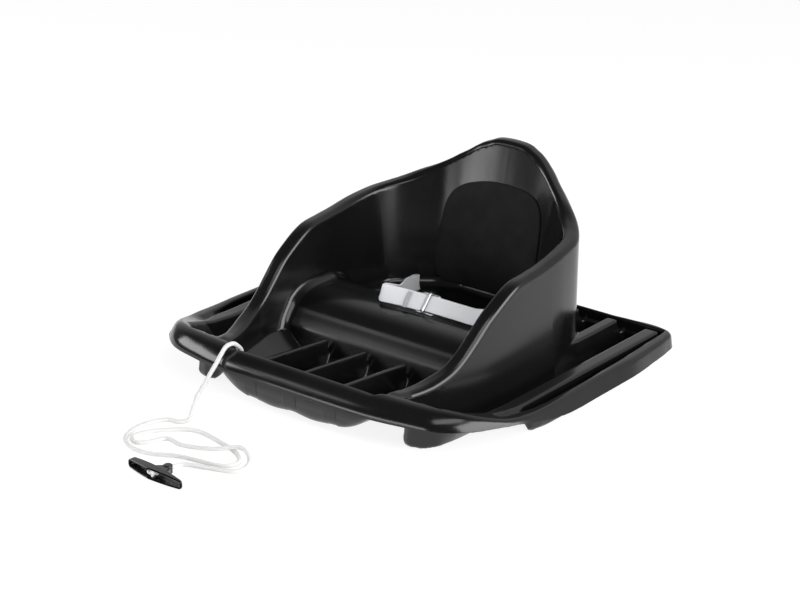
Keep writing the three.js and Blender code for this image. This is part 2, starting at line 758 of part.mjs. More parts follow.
// The free cord from the knot behind the foot-well's wall to the handle's neck.
function cordTube() {
  const points = cordRoute.map((p) => new THREE.Vector3(...p));
  const last = points[points.length - 1];
  const toNeck = new THREE.Vector3(neckPoint.x - last.x, neckPoint.y - last.y, 0).normalize();
  points.push(neckPoint.clone().addScaledVector(toNeck, -(neckDiameter / 2 + clearance)));
  const curve = new THREE.CatmullRomCurve3(points, false, "centripetal");
  const section = new THREE.Shape();
  for (let i = 0; i < cordSides; i += 1) {
    const angle = 2 * Math.PI * i / cordSides;
    const x = cordDiameter / 2 * Math.cos(angle);
    const y = cordDiameter / 2 * Math.sin(angle);
    if (i === 0) {
      section.moveTo(x, y);
    } else {
      section.lineTo(x, y);
    }
  }
  return new THREE.ExtrudeGeometry(section, {
    steps: cordSteps, extrudePath: curve, bevelEnabled: false });
}

// A round knot, slightly flattened.
function knot(diameter, middle) {
  const ball = new THREE.SphereGeometry(diameter / 2, 16, 10);
  ball.scale(1, knotHeight / knotDiameter, knotHeight / knotDiameter);
  ball.translate(middle.x, middle.y, middle.z);
  return ball;
}

// The T-handle: a hollow-backed grip with a round neck that the cord enters.
function pullHandle() {
  const shape = new THREE.Shape();
  const half = handleLength / 2;
  const round = handleHeight / 2;
  shape.moveTo(-half + round, -round);
  shape.quadraticCurveTo(0, -gripWaistShare * round, half - round, -round);
  shape.absarc(half - round, 0, round, -Math.PI / 2, Math.PI / 2, false);
  shape.quadraticCurveTo(0, gripWaistShare * round, -half + round, round);
  shape.absarc(-half + round, 0, round, Math.PI / 2, 1.5 * Math.PI, false);
  const grip = new THREE.ExtrudeGeometry(shape, {
    depth: handleDepth, bevelEnabled: false, curveSegments: 8 });
  const recess = new THREE.ExtrudeGeometry(shape, {
    depth: handleDepth, bevelEnabled: false, curveSegments: 8 });
  const inset = 1 - 2 * handleWall / handleHeight;
  recess.scale(1 - 2 * handleWall / handleLength, inset, 1);
  recess.translate(0, 0, handleWall);
  let body = toSolid(grip).subtract(toSolid(recess));
  const thick = handleHeight - 2 * handleWall;
  const neck = new THREE.CylinderGeometry(neckDiameter / 2, neckDiameter / 2, thick, 20);
  neck.translate(0, 0, -neckReach);
  const root = handleWall / 2;
  const tip = neckDiameter / 2;
  const stem = new THREE.Shape([
    new THREE.Vector2(-stemWidth / 2, root), new THREE.Vector2(-stemWidth / 2, 0),
    new THREE.Vector2(-tip, -neckReach), new THREE.Vector2(tip, -neckReach),
    new THREE.Vector2(stemWidth / 2, 0), new THREE.Vector2(stemWidth / 2, root)]);
  const web = new THREE.ExtrudeGeometry(stem, { depth: thick, bevelEnabled: false });
  web.rotateX(Math.PI / 2);
  web.translate(0, thick / 2, 0);
  const bore = new THREE.CylinderGeometry(
    cordDiameter / 2 + clearance, cordDiameter / 2 + clearance, 2 * neckReach + 4 * handleWall, 16);
  bore.rotateX(Math.PI / 2);
  bore.translate(0, 0, -neckReach);
  return body.add(toSolid(neck)).add(toSolid(web)).subtract(toSolid(bore));
}

// The cord's end in the handle: a stretch through the neck and the knot in the hollow.
function handleEnd() {
  const length = neckReach + neckDiameter / 2 + handleWall + handleKnot / 4 - clearance;
  const stretch = new THREE.CylinderGeometry(cordDiameter / 2, cordDiameter / 2, length, cordSides);
  stretch.rotateX(Math.PI / 2);
  stretch.translate(0, 0, handleWall + clearance + handleKnot / 4 - length / 2);
  const ball = new THREE.SphereGeometry(handleKnot / 2, 16, 10);
  ball.translate(0, 0, handleWall + clearance + handleKnot / 2);
  return toSolid(stretch).add(toSolid(ball));
}

// Lays a piece made in the handle's own frame on its side, neck towards the cord.
function layHandle(geometry) {
  geometry.translate(0, 0, neckReach);
  geometry.rotateX(Math.PI / 2);
  geometry.rotateZ(THREE.MathUtils.degToRad(handleTurn));
  geometry.translate(neckPoint.x, neckPoint.y, neckPoint.z);
  return geometry;
}

const group = new THREE.Group();
const black = () => finish(0x141414, 0.32, 0);
const leftStations = beltStations(leftBeltShares, 40, true);
const rightStations = beltStations(rightBeltShares, 40, true);
const tailStations = beltStations(tailShares, 28, false);
const leftEnd = leftStations[0];
const rightEnd = rightStations[0];
group.add(piece("sled_shell", toGeometry(sledShell([beltSlot(leftEnd), beltSlot(rightEnd)])), black()));
group.add(piece("back_pad", backPad(), finish(0x181818, 0.95, 0)));
group.add(piece("belt_strap_left", beltBand(leftStations), finish(0xf0f0f2, 0.8, 0)));
group.add(piece("belt_strap_right", beltBand(rightStations), finish(0xf0f0f2, 0.8, 0)));
group.add(piece("belt_tail", beltBand(tailStations), finish(0xf0f0f2, 0.8, 0)));
group.add(piece("belt_anchor_left", beltAnchor(leftEnd, -1), finish(0xe8e8ea, 0.8, 0)));
group.add(piece("belt_anchor_right", beltAnchor(rightEnd, -1), finish(0xe8e8ea, 0.8, 0)));
group.add(piece("belt_slide", beltSlide(rightStations[rightStations.length - 1]), finish(0xc9ccd0, 0.25, 1)));
group.add(piece("pull_cord", cordTube(), finish(0xf2f2ee, 0.85, 0)));

const start = new THREE.Vector3(...cordRoute[0]);
start.x -= knotDiameter / 2 + clearance;
group.add(piece("lip_knot", knot(knotDiameter, start), finish(0xf2f2ee, 0.85, 0)));

group.add(piece("handle_knot", layHandle(toGeometry(handleEnd())), finish(0xf2f2ee, 0.85, 0)));
group.add(piece("pull_handle", layHandle(toGeometry(pullHandle())), black()));

export default group;
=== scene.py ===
import math

import bmesh
import bpy
import numpy as np
from mathutils import Matrix, Vector


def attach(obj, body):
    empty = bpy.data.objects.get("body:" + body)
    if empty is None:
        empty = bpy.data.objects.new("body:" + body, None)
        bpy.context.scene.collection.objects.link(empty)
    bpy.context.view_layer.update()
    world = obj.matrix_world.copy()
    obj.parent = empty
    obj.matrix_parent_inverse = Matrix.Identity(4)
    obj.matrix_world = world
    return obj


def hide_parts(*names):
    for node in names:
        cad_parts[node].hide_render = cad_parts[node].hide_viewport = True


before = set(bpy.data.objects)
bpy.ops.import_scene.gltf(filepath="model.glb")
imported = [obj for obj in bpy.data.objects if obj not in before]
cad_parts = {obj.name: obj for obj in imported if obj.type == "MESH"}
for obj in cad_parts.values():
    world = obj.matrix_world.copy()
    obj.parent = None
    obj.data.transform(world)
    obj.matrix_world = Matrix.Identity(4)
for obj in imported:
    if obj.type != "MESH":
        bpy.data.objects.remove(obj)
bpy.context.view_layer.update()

# The camera stands before the sled's front right corner, a little above it, with a long
# lens, and looks at the middle of the seat.
azimuth = math.radians(38.8)
elevation = math.radians(22.0)
standpoint = Vector((1.9266, -2.4126, 1.3334))
backward = Vector((math.cos(elevation) * math.sin(azimuth),
                   -math.cos(elevation) * math.cos(azimuth), math.sin(elevation)))
rightward = Vector((math.cos(azimuth), math.sin(azimuth), 0))
upward = backward.cross(rightward)
camera_data = bpy.data.cameras.new("photo_camera")
camera_data.sensor_width = 36
camera_data.lens = 117
camera_data.clip_end = 30
camera = bpy.data.objects.new("photo_camera", camera_data)
bpy.context.collection.objects.link(camera)
turn = Matrix((rightward, upward, backward)).transposed().to_4x4()
camera.matrix_world = Matrix.Translation(standpoint) @ turn
bpy.context.scene.camera = camera
bpy.context.scene.view_settings.view_transform = "Standard"


# The moulding is one black plastic skin, 3 mm thick and open below. Its outlines and
# side views are kept as distances to smooth lines, joined with round edges and fillets,
# and the skin is drawn over the result. Sizes here are in millimetres.
def run_along(line):
    """How far along a line each of its points lies."""
    return np.concatenate([[0], np.cumsum(np.linalg.norm(np.diff(line, axis=0), axis=1))])


def smooth_line(points, count, closed=False):
    """Evenly spaced points of a smooth line through the given ones."""
    points = np.array(points, float)
    if closed:
        rows = np.vstack([points[-1], points, points[:2]])
    else:
        rows = np.vstack([2 * points[0] - points[1], points, 2 * points[-1] - points[-2]])
    line = []
    for k in range(1, len(rows) - 2):
        p0, p1, p2, p3 = rows[k - 1:k + 3]
        knots = np.cumsum([0] + [max(np.linalg.norm(b - a), 1e-6) ** 0.5
                                 for a, b in ((p0, p1), (p1, p2), (p2, p3))])
        t = np.linspace(knots[1], knots[2], 24, endpoint=False)[:, None]
        blend = lambda i, j, p, q: ((knots[j] - t) / (knots[j] - knots[i]) * p
                                    + (t - knots[i]) / (knots[j] - knots[i]) * q)
        a1, a2, a3 = blend(0, 1, p0, p1), blend(1, 2, p1, p2), blend(2, 3, p2, p3)
        b1, b2 = blend(0, 2, a1, a2), blend(1, 3, a2, a3)
        line.append(blend(1, 2, b1, b2))
    line = np.vstack(line + [rows[-2][None]])
    run = run_along(line)
    at = np.linspace(0, run[-1], count)
    return np.stack([np.interp(at, run, line[:, i]) for i in range(line.shape[1])], 1)


class Outline:
    """Signed distance to a closed flat outline, outside positive, read from a fine grid."""

    def __init__(self, points, low, high, step, values=None):
        points = np.array(points, float)
        self.low, self.step = np.array(low, float), step
        size = np.ceil((np.array(high) - self.low) / step).astype(int) + 1
        a = self.low[0] + step * np.arange(size[0])[:, None] + np.zeros((1, size[1]))
        b = self.low[1] + step * np.arange(size[1])[None, :] + np.zeros((size[0], 1))
        near = np.full(a.shape, 1e9)
        inside = np.zeros(a.shape, bool)
        values = np.zeros((len(points), 0)) if values is None else np.array(values, float)
        carried = np.zeros(a.shape + (values.shape[1],))
        for k in range(len(points)):
            p, q = points[k], points[(k + 1) % len(points)]
            d = q - p
            t = np.clip(((a - p[0]) * d[0] + (b - p[1]) * d[1]) / max(d @ d, 1e-9), 0, 1)
            gap = (a - p[0] - t * d[0]) ** 2 + (b - p[1] - t * d[1]) ** 2
            closer = gap < near
            near = np.where(closer, gap, near)
            if values.shape[1]:
                mixed = values[k] + t[..., None] * (values[(k + 1) % len(points)] - values[k])
                carried = np.where(closer[..., None], mixed, carried)
            if p[1] != q[1]:
                crossing = ((p[1] <= b) != (q[1] <= b)) & (a < p[0] + (b - p[1]) * d[0] / d[1])
                inside ^= crossing
        distance = np.sqrt(near) * np.where(inside, -1, 1)
        self.sheets = [distance] + [carried[..., i] for i in range(values.shape[1])]

    def __call__(self, a, b):
        """The distance, and after it any values carried along the outline."""
        fa, fb = (a - self.low[0]) / self.step, (b - self.low[1]) / self.step
        ia = np.clip(np.floor(fa).astype(np.int32), 1, self.sheets[0].shape[0] - 3)
        ib = np.clip(np.floor(fb).astype(np.int32), 1, self.sheets[0].shape[1] - 3)
        ta, tb = np.clip(fa - ia, -1, 2), np.clip(fb - ib, -1, 2)
        weigh = lambda t: (0.5 * (-t + 2 * t ** 2 - t ** 3), 0.5 * (2 - 5 * t ** 2 + 3 * t ** 3),
                           0.5 * (t + 4 * t ** 2 - 3 * t ** 3), 0.5 * (t ** 3 - t ** 2))
        wa, wb = weigh(ta), weigh(tb)
        gap, *carried = self.sheets
        distance = sum(wa[i] * sum(wb[j] * gap[ia + i - 1, ib + j - 1] for j in range(4))
                       for i in range(4))
        result = [distance]
        for sheet in carried:
            low = sheet[ia, ib] * (1 - ta) + sheet[ia + 1, ib] * ta
            high = sheet[ia, ib + 1] * (1 - ta) + sheet[ia + 1, ib + 1] * ta
            result.append(low * (1 - tb) + high * tb)
        return result if carried else distance


def round_meet(a, b, radius):
    """Both shapes at once, the edge where they meet rounded."""
    u, v = np.maximum(radius + a, 0), np.maximum(radius + b, 0)
    return np.minimum(-radius, np.maximum(a, b)) + np.hypot(u, v)


def round_join(a, b, radius):
    """Either shape, with a fillet where they join."""
    return -round_meet(-a, -b, radius)


# The moulding's reaches and heights, then leans and drafts, the seat's room, the fins and
# the rounds of its edges. A slack shortens a distance where its face leans.
half_width, front_reach, rear_reach, back_height = 277.0, 238.0, 236.0, 243.0
wall = 3.0
skirt_hem, deck_top, lip_hem, lip_top = 17.0, 36.0, 38.0, 63.0
side_lean, rear_lean, lip_lean, bead_swell = 9.0, 8.0, 24.0, 2.1
side_lean_fade, rear_lean_fade, corner_lean = (0.35, 0.85), (0.6, 0.9), 0.2
seat_half_width, back_foot, back_margin, rim_band = 179.0, 228.0, 2.0, 21.0
side_draft, back_draft, well_draft, outer_draft = 0.185, 0.229, 0.15, 0.08
flare_rear, flare_run, flare_drop = 140.0, 80.0, 10.0
hump_top, pan_top, well_floor, well_half_width = 77.0, 40.0, 8.0, 117.0
bilge_top, bilge_draw, bilge_turn, bay_swell = 37.0, 40.0, 30.0, 3.5
bilge_onset, bilge_slack, bilge_start = 0.06, 0.4, 3.0
fin_pitch, fin_top, fin_base, fin_front, fin_rear = 64.0, 6.0, 16.0, 61.5, 43.0
crest_front, crest_rear, crest_slack, fin_sunk = -262.0, -77.0, 0.99, 4.0
fin_tail, tail_sweep, tail_drop, tail_slack = -85.0, 0.25, 12.0, 0.8
nose_reach, nose_top, nose_level, nose_slope = 229.0, 226.0, 38.0, 0.75
channel_floor, cross_floor, most_rise = 3.0, 20.0, 1.6
edge_round, bead_round, rim_round, rim_corner, lip_slack = 5.0, 9.0, 8.5, 14.0, 0.28
foot_fillet, room_fillet, room_edge = 6.0, 11.0, 7.0
slat_round, trough_round, fin_edge, fin_end_edge, fin_fillet = 3.2, 3.5, 2.6, 2.0, 2.2

plan_low, plan_high = (-15, -285), (305, 285)
view_low, view_high = (-285, -45), (285, 275)


def reach(share):
    """A share of the front reach where negative, and of the rear reach otherwise."""
    return np.where(np.asarray(share) < 0, np.asarray(share) * front_reach,
                    np.asarray(share) * rear_reach)


def mirrored(half):
    """A right half outline, front to rear, closed by its mirror image."""
    half = np.array(half, float)
    other = half[half[:, 0] > 1e-6][::-1].copy()
    other[:, 0] *= -1
    return np.vstack([half, other])


def under(line, floor=-200.0):
    """The closed shape below a side-view line."""
    line = np.array(line, float)
    return np.vstack([line, [[line[-1][0], floor], [line[0][0], floor]]])


# The skirt from above, front to rear, in shares of the half width and of the reach.
skirt_shares = np.array([
    (0, -1), (0.2, -1), (0.427, -0.992), (0.607, -0.962), (0.794, -0.903), (0.918, -0.773),
    (0.995, -0.529), (1.007, -0.252), (1, 0.084), (0.993, 0.523), (0.978, 0.679),
    (0.96, 0.848), (0.935, 0.95), (0.85, 0.996), (0.6, 1), (0, 1)])
skirt_line = smooth_line(
    np.stack([skirt_shares[:, 0] * half_width, reach(skirt_shares[:, 1])], 1), 260)
skirt_line[[0, -1], 0] = 0
skirt = Outline(mirrored(skirt_line), plan_low, plan_high, 3)

# The deck's top and the skirt's hem along the sled, as shares of their rise to the lip.
deck_rise = np.array([
    (-1.2, 1), (-0.9, 1), (-0.84, 0.907), (-0.786, 0.8), (-0.714, 0.593), (-0.63, 0.35),
    (-0.542, 0.148), (-0.437, 0.055), (-0.336, 0), (-0.1, 0), (1.2, 0)])
deck_line = np.stack([reach(deck_rise[:, 0]), deck_top + deck_rise[:, 1] * (lip_top - deck_top)], 1)
deck_view = Outline(under(smooth_line(deck_line, 160)), view_low, view_high, 2.5)
hem_rise = np.array([
    (-1.2, 1), (-0.84, 1), (-0.68, 0.92), (-0.529, 0.76), (-0.39, 0.48), (-0.252, 0.19),
    (-0.126, 0.05), (0, 0), (1.2, 0)])

# The seat's wall from above, and its rim from the side and from behind.
seat_shares = np.array([
    (0.816, -0.853), (0.838, -0.811), (0.866, -0.748), (0.894, -0.685), (0.922, -0.618),
    (0.95, -0.517), (0.978, -0.361), (0.994, -0.21), (1, -0.013), (1, 0.224), (0.989, 0.401),
    (0.95, 0.565), (0.894, 0.641), (0.81, 0.717), (0.698, 0.793), (0.587, 0.861),
    (0.475, 0.911), (0.363, 0.958), (0.251, 0.983), (0.112, 0.998), (0, 1)])
seat_line = smooth_line(
    np.stack([seat_shares[:, 0] * seat_half_width, reach(seat_shares[:, 1])], 1), 240)
seat_line[-1, 0] = 0
seat = Outline(mirrored(seat_line), plan_low, plan_high, 3)

rim_side = np.array([
    (-1, 0.12), (-0.86, 0.235), (-0.82, 0.253), (-0.748, 0.256), (-0.685, 0.262),
    (-0.618, 0.276), (-0.517, 0.31), (-0.437, 0.358), (-0.361, 0.42), (-0.256, 0.51),
    (-0.176, 0.56), (-0.084, 0.609), (-0.013, 0.634), (0.105, 0.646), (0.224, 0.658),
    (0.401, 0.687), (0.565, 0.716), (0.633, 0.733), (0.7, 0.765), (0.76, 0.845), (0.82, 1.03),
    (0.9, 1.2), (1.2, 1.2)])
rim_back = np.array([
    (0, 1), (0.14, 0.992), (0.195, 0.976), (0.251, 0.959), (0.307, 0.934), (0.363, 0.905),
    (0.419, 0.88), (0.475, 0.852), (0.587, 0.807), (0.698, 0.778), (0.81, 0.753),
    (0.894, 0.735), (0.95, 0.723), (1.3, 0.7)])
rim_side_line = smooth_line(
    np.stack([reach(rim_side[:, 0]), rim_side[:, 1] * back_height], 1), 220)
rim_back_line = smooth_line(
    np.vstack([rim_back[:0:-1] * (-1, 1), rim_back]) * (seat_half_width, back_height), 220)
rim_side_view = Outline(under(rim_side_line), view_low, view_high, 2.5)
rim_back_view = Outline(under(rim_back_line), (-20, -45), view_high, 2.5)

# The inner wall starts one rim band inside the seat's outline and leans in as it goes
# down, by the draft of the place; in front the foot-well has its own outline.
first_seat_row, back_turn, inner_count, blur_half = 36, 60.0, 260, 6
well_shares = np.array([
    (0, -1.034), (0.6, -1.03), (0.86, -1.018), (0.98, -0.992), (1.045, -0.94), (1.06, -0.88)])
seat_turn = np.gradient(seat_line, axis=0)
seat_turn /= np.linalg.norm(seat_turn, axis=1)[:, None]
seat_out = np.stack([seat_turn[:, 1], -seat_turn[:, 0]], 1)
rows = np.arange(first_seat_row, len(seat_line))
inner_seat = (seat_line - seat_out * rim_band)[rows]
inner_seat[-1, 0] = 0
rim_level = np.minimum(
    np.interp(seat_line[rows, 1], rim_side_line[:, 0], rim_side_line[:, 1]),
    np.interp(seat_line[rows, 0], rim_back_line[:, 0], rim_back_line[:, 1]))
behind = np.clip(seat_line[rows, 1] / back_turn, 0, 1)
inner_draft = side_draft + (back_draft - side_draft) * np.abs(seat_out[rows, 1]) * behind
inner_well = smooth_line(well_shares * (well_half_width, front_reach), 30)
inner_line = np.vstack([inner_well, inner_seat])
inner_values = np.stack([
    np.concatenate([np.full(len(inner_well), lip_top), rim_level]),
    np.concatenate([np.full(len(inner_well), well_draft), inner_draft])], 1)
resampled = run_along(inner_line)
inner_place = np.linspace(0, resampled[-1], inner_count)
blur = np.hanning(2 * blur_half + 1)
blur /= blur.sum()
table = np.stack([np.interp(inner_place, resampled, column)
                  for column in (*inner_line.T, *inner_values.T)], 1)
table = np.stack([
    np.convolve(np.pad(column, blur_half, mode="reflect", reflect_type="odd"), blur, "valid")
    for column in table.T], 1)
table[[0, -1], 0] = 0
mirror_table = table[table[:, 0] > 1e-6][::-1] * (-1, 1, 1, 1)
whole_table = np.vstack([table, mirror_table])
inner = Outline(whole_table[:, :2], plan_low, plan_high, 3, whole_table[:, 2:])

# The room's floor seen from the side: front wall, well floor, hump, pan and back.
floor_line = np.vstack([
    [(-150, 420), (-203, 66), (-217, 52), (-230.5, 40), (-233, 31), (-232.5, 21),
     (-230, 13.5), (-225.5, 9.2), (-216, well_floor), (-160, well_floor), (-112, well_floor),
     (-99, 9), (-90, 19), (-83, 32), (-77, 43), (-72, 49), (-64, 57.5)],
    np.array([
        (-0.24, 0.844), (-0.169, 0.955), (-0.097, 1), (0.0, 1.004), (0.105, 0.99), (0.16, 0.9),
        (0.219, 0.68), (0.262, 0.56)]) * (rear_reach, hump_top),
    [(74, pan_top), (90, pan_top - 0.3), (161, pan_top), (166, 41.5), (169.5, 44), (174, 47),
     (420, 60)]])
room_shape = np.vstack([floor_line[:2], smooth_line(floor_line[1:-1], 240), floor_line[-1:],
                        [[420, 420]]])
floor_view = Outline(room_shape, view_low, view_high, 2.5)


def plan(shares):
    """A channel's outline in millimetres from its shares."""
    shares = np.array(shares, float)
    line = np.stack([shares[:, 0] * half_width, reach(shares[:, 1])], 1)
    return Outline(line, plan_low, plan_high, 3)


# Each channel has its outline at the deck's top, the one at its foot, and its lowest floor.
channel_shapes = [
    (plan([(0.646, 0.935), (0.646, 0.3), (0.433, 0.1), (0.433, -0.5), (0.53, -0.75),
           (0.555, -0.82), (0.6, -0.835), (0.71, -0.79), (0.769, -0.71), (0.801, -0.58),
           (0.805, -0.42), (0.805, 0.935)]),
     plan([(0.668, 0.935), (0.668, 0.3), (0.433, 0.1), (0.433, -0.5), (0.535, -0.775),
           (0.555, -0.84), (0.59, -0.86), (0.655, -0.835), (0.685, -0.76), (0.695, -0.62),
           (0.7, -0.42), (0.74, -0.1), (0.74, 0.935)]), 0),
    (plan([(0.877, 0.935), (0.877, -0.4), (0.87, -0.54), (0.892, -0.513), (0.917, -0.4),
           (0.931, -0.231), (0.931, 0.127), (0.92, 0.464), (0.906, 0.696), (0.892, 0.935)]),
     plan([(0.89, 0.935), (0.89, -0.252), (0.89, -0.32), (0.899, -0.311), (0.911, -0.252),
           (0.92, -0.168), (0.92, 0.127), (0.911, 0.464), (0.902, 0.696), (0.894, 0.935)]), 0),
    (plan([(0.426, 0.935), (0.426, 0.5), (0.588, 0.5), (0.588, 0.935)]),
     plan([(0.447, 0.935), (0.447, 0.5), (0.567, 0.5), (0.567, 0.935)]), 0),
    (plan([(0.25, 0.945), (0.25, 0.914), (0.888, 0.914), (0.888, 0.945)]),
     plan([(0.25, 0.938), (0.25, 0.922), (0.888, 0.922), (0.888, 0.938)]), cross_floor),
]
# The runners' floor lifts a little towards the front.
rocker = np.array([(-1.2, 2), (-0.88, 1.5), (-0.8, 1.1), (-0.5, 1), (1.2, 1)])


def seat_room(x, y, z):
    """Distance to the room inside the seat, narrower at the foot-well's bottom."""
    x = np.abs(x)
    below = np.clip((bilge_top - z) / bilge_top, 0, 1.3)
    narrowing = bilge_draw * below ** 2 / (below + bilge_onset) + bilge_turn * below ** 3
    distance, level, draft = inner(x / (1 - narrowing / well_half_width), y)
    slack = 1 - bilge_slack * np.clip(below * bilge_start, 0, 1)
    sides = (distance - draft * (z - level)) * slack
    # The floor rises a little at each fin, which leaves shallow bays between them.
    swell = bay_swell * below * (0.5 + 0.5 * np.cos(2 * np.pi * np.minimum(x / fin_pitch, 1.5)))
    return round_meet(sides, floor_view(y, z - swell), room_fillet)


def moulding(x, y, z):
    """Distance to the moulding's upper face: negative below the skin, positive in the air."""
    x = np.abs(x)
    # The deck's block: its skirt leans in with height, most of all at the lip.
    rise = (z - skirt_hem) / (deck_top - skirt_hem)
    kept_side = np.interp(y, rear_reach * np.array(side_lean_fade), (1, corner_lean))
    kept_rear = np.interp(x, half_width * np.array(rear_lean_fade), (1, corner_lean))
    side = half_width - side_lean * kept_side * rise
    rear = rear_reach - rear_lean * kept_rear * rise
    bead = np.clip((z - lip_hem) / (lip_top - lip_hem), 0, most_rise)
    front = front_reach - lip_lean * bead ** bead_swell
    around = skirt(x * half_width / side,
                   np.where(y < 0, y * front_reach / front, y * rear_reach / rear))
    steep = np.clip(-y / front_reach, 0, 1) ** 4
    around = around * (1 - lip_slack * steep)
    deck = round_meet(around, deck_view(y, z), edge_round + (bead_round - edge_round) * steep)
    # The channels pressed into it.
    floor_level = channel_floor * np.interp(y, reach(rocker[:, 0]), rocker[:, 1])
    share = np.clip(z / deck_top, 0, most_rise)
    for top, foot, lowest in channel_shapes:
        sides = foot(x, y) * (1 - share) + top(x, y) * share
        channel = round_meet(sides, np.maximum(floor_level, lowest) - z, trough_round)
        deck = round_meet(deck, -channel, slat_round)
    # The seat stands on the deck: its back leans, and its sides flare out below the rim.
    upright = 1 - (z + back_margin) / (back_height + 2 * back_margin)
    lean = (back_foot - rear_reach) * upright * np.clip(y / rear_reach, 0, 1)
    below_rim = np.interp(y, rim_side_line[:, 0], rim_side_line[:, 1]) - flare_drop - z
    flare = outer_draft * np.clip((flare_rear - y) / flare_run, 0, 1) * np.clip(below_rim, 0, None)
    around = seat(x, y - np.minimum(lean, 0)) - flare
    top = round_meet(rim_side_view(y, z), rim_back_view(x, z), rim_corner)
    block = round_meet(around, top, rim_round)
    body = round_join(deck, block, foot_fillet)
    # The room inside it.
    body = round_meet(body, -seat_room(x, y, z), room_edge)
    # The three fins of the foot-well.
    fall = (fin_front - fin_rear) / (crest_front - crest_rear)
    crest = (z - (fin_rear + fall * (y - crest_rear))) * crest_slack
    tail = (y - fin_tail + tail_sweep * np.clip(fin_rear + 1 - z, 0, tail_drop)) * tail_slack
    nose = -y - np.minimum(nose_reach, nose_top - nose_slope * (z - nose_level))
    ends = round_meet(tail, nose, fin_end_edge)
    half = 0.5 * (fin_base + (fin_top - fin_base) * (z + fin_sunk) / (fin_front + fin_sunk))
    for centre in (0, fin_pitch):
        fin = round_meet(round_meet(np.abs(x - centre) - half, crest, fin_edge), ends, fin_edge)
        body = round_join(body, fin, fin_fillet)
    return body


def net(function, low, high, step, mirror=False):
    """A mesh of quads over a function's zero face, drawn on a grid."""
    axes = [np.arange(low[i], high[i] + step, step) for i in range(3)]
    values = np.empty([len(a) for a in axes])
    slab = 12
    for k in range(0, len(axes[0]), slab):
        grid = np.meshgrid(axes[0][k:k + slab], axes[1], axes[2], indexing="ij")
        values[k:k + slab] = function(*grid)
    if mirror:
        values = np.concatenate([values[:0:-1], values])
        axes[0] = np.concatenate([-axes[0][:0:-1], axes[0]])
    inside = values < 0
    shape = np.array(values.shape) - 1
    cut = lambda array, o: array[o[0]:o[0] + shape[0], o[1]:o[1] + shape[1], o[2]:o[2] + shape[2]]
    offsets = [(i, j, k) for i in (0, 1) for j in (0, 1) for k in (0, 1)]
    count = sum(cut(inside, o).astype(np.int8) for o in offsets)
    cells = np.argwhere((count > 0) & (count < 8))
    number = np.full(shape, -1)
    number[tuple(cells.T)] = np.arange(len(cells))
    total, hits = np.zeros((len(cells), 3)), np.zeros(len(cells))
    for o in offsets:
        for axis in range(3):
            if o[axis]:
                continue
            p = list(o)
            p[axis] = 1
            a = values[tuple((cells + o).T)]
            b = values[tuple((cells + p).T)]
            crossing = (a < 0) != (b < 0)
            share = np.where(crossing, a / np.where(crossing, a - b, 1), 0)
            place = np.array(o, float) + np.outer(share, np.eye(3)[axis])
            total += np.where(crossing[:, None], place, 0)
            hits += crossing
    start = np.array([a[0] for a in axes])
    points = start + (cells + total / hits[:, None]) * step
    quads = []
    for axis in range(3):
        u, v = (axis + 1) % 3, (axis + 2) % 3
        ends = np.array(values.shape)
        ends[axis] -= 1
        first = inside[:ends[0], :ends[1], :ends[2]]
        shifted = np.roll(inside, -1, axis)[:ends[0], :ends[1], :ends[2]]
        edges = np.argwhere(first != shifted)
        edges = edges[(edges[:, u] > 0) & (edges[:, v] > 0)
                      & (edges[:, u] < shape[u]) & (edges[:, v] < shape[v])]
        ring = []
        for du, dv in ((-1, -1), (0, -1), (0, 0), (-1, 0)):
            cell = edges.copy()
            cell[:, u] += du
            cell[:, v] += dv
            ring.append(number[tuple(cell.T)])
        ring = np.stack(ring, 1)
        outward = first[tuple(edges.T)]
        ring[~outward] = ring[~outward][:, ::-1]
        quads.append(ring)
    return points, np.vstack(quads)


def slope_of(function, points, reach_out=0.6):
    """The function's value and its unit outward direction at points."""
    rise = []
    for axis in range(3):
        shift = np.zeros(3)
        shift[axis] = reach_out
        rise.append((function(*(points + shift).T) - function(*(points - shift).T)) / (2 * reach_out))
    rise = np.stack(rise, 1)
    size = np.maximum(np.linalg.norm(rise, axis=1), 1e-6)
    return function(*points.T), rise / size[:, None], size


def settle(function, points, times=3):
    """Moves points onto the function's zero face."""
    for _ in range(times):
        value, direction, size = slope_of(function, points)
        points = points - direction * np.clip(value / size, -2, 2)[:, None]
    return points


def plain_mesh(name, points, faces):
    """A mesh in metres from points in millimetres."""
    mesh = bpy.data.meshes.new(name)
    mesh.from_pydata((np.asarray(points) * 0.001).tolist(), [], [list(map(int, f)) for f in faces])
    mesh.validate()
    mesh.update()
    return mesh


def place(name, mesh, material):
    """An object at the origin with one material."""
    piece = bpy.data.objects.new(name, mesh)
    bpy.context.collection.objects.link(piece)
    mesh.materials.append(material)
    for polygon in mesh.polygons:
        polygon.use_smooth = True
    return piece


def fewer(mesh, share):
    """The mesh with flat places drawn by fewer triangles."""
    holder = bpy.data.objects.new("holder", mesh)
    bpy.context.collection.objects.link(holder)
    thin = holder.modifiers.new("thin", "DECIMATE")
    thin.ratio = share
    thin.use_collapse_triangulate = True
    depth = bpy.context.evaluated_depsgraph_get()
    result = bpy.data.meshes.new_from_object(holder.evaluated_get(depth))
    bpy.data.objects.remove(holder)
    return result


def mesh_arrays(mesh):
    """A mesh's points in millimetres and its triangles."""
    points = np.empty(3 * len(mesh.vertices))
    mesh.vertices.foreach_get("co", points)
    corners = np.empty(len(mesh.loops), int)
    mesh.loops.foreach_get("vertex_index", corners)
    return points.reshape(-1, 3) * 1000, corners.reshape(-1, 3)


def border_edges(faces):
    """Directed edges that only one face uses."""
    edges = np.vstack([faces[:, [i, (i + 1) % faces.shape[1]]] for i in range(faces.shape[1])])
    key = np.sort(edges, axis=1)
    _, first, count = np.unique(key, axis=0, return_index=True, return_counts=True)
    return edges[first[count == 1]]


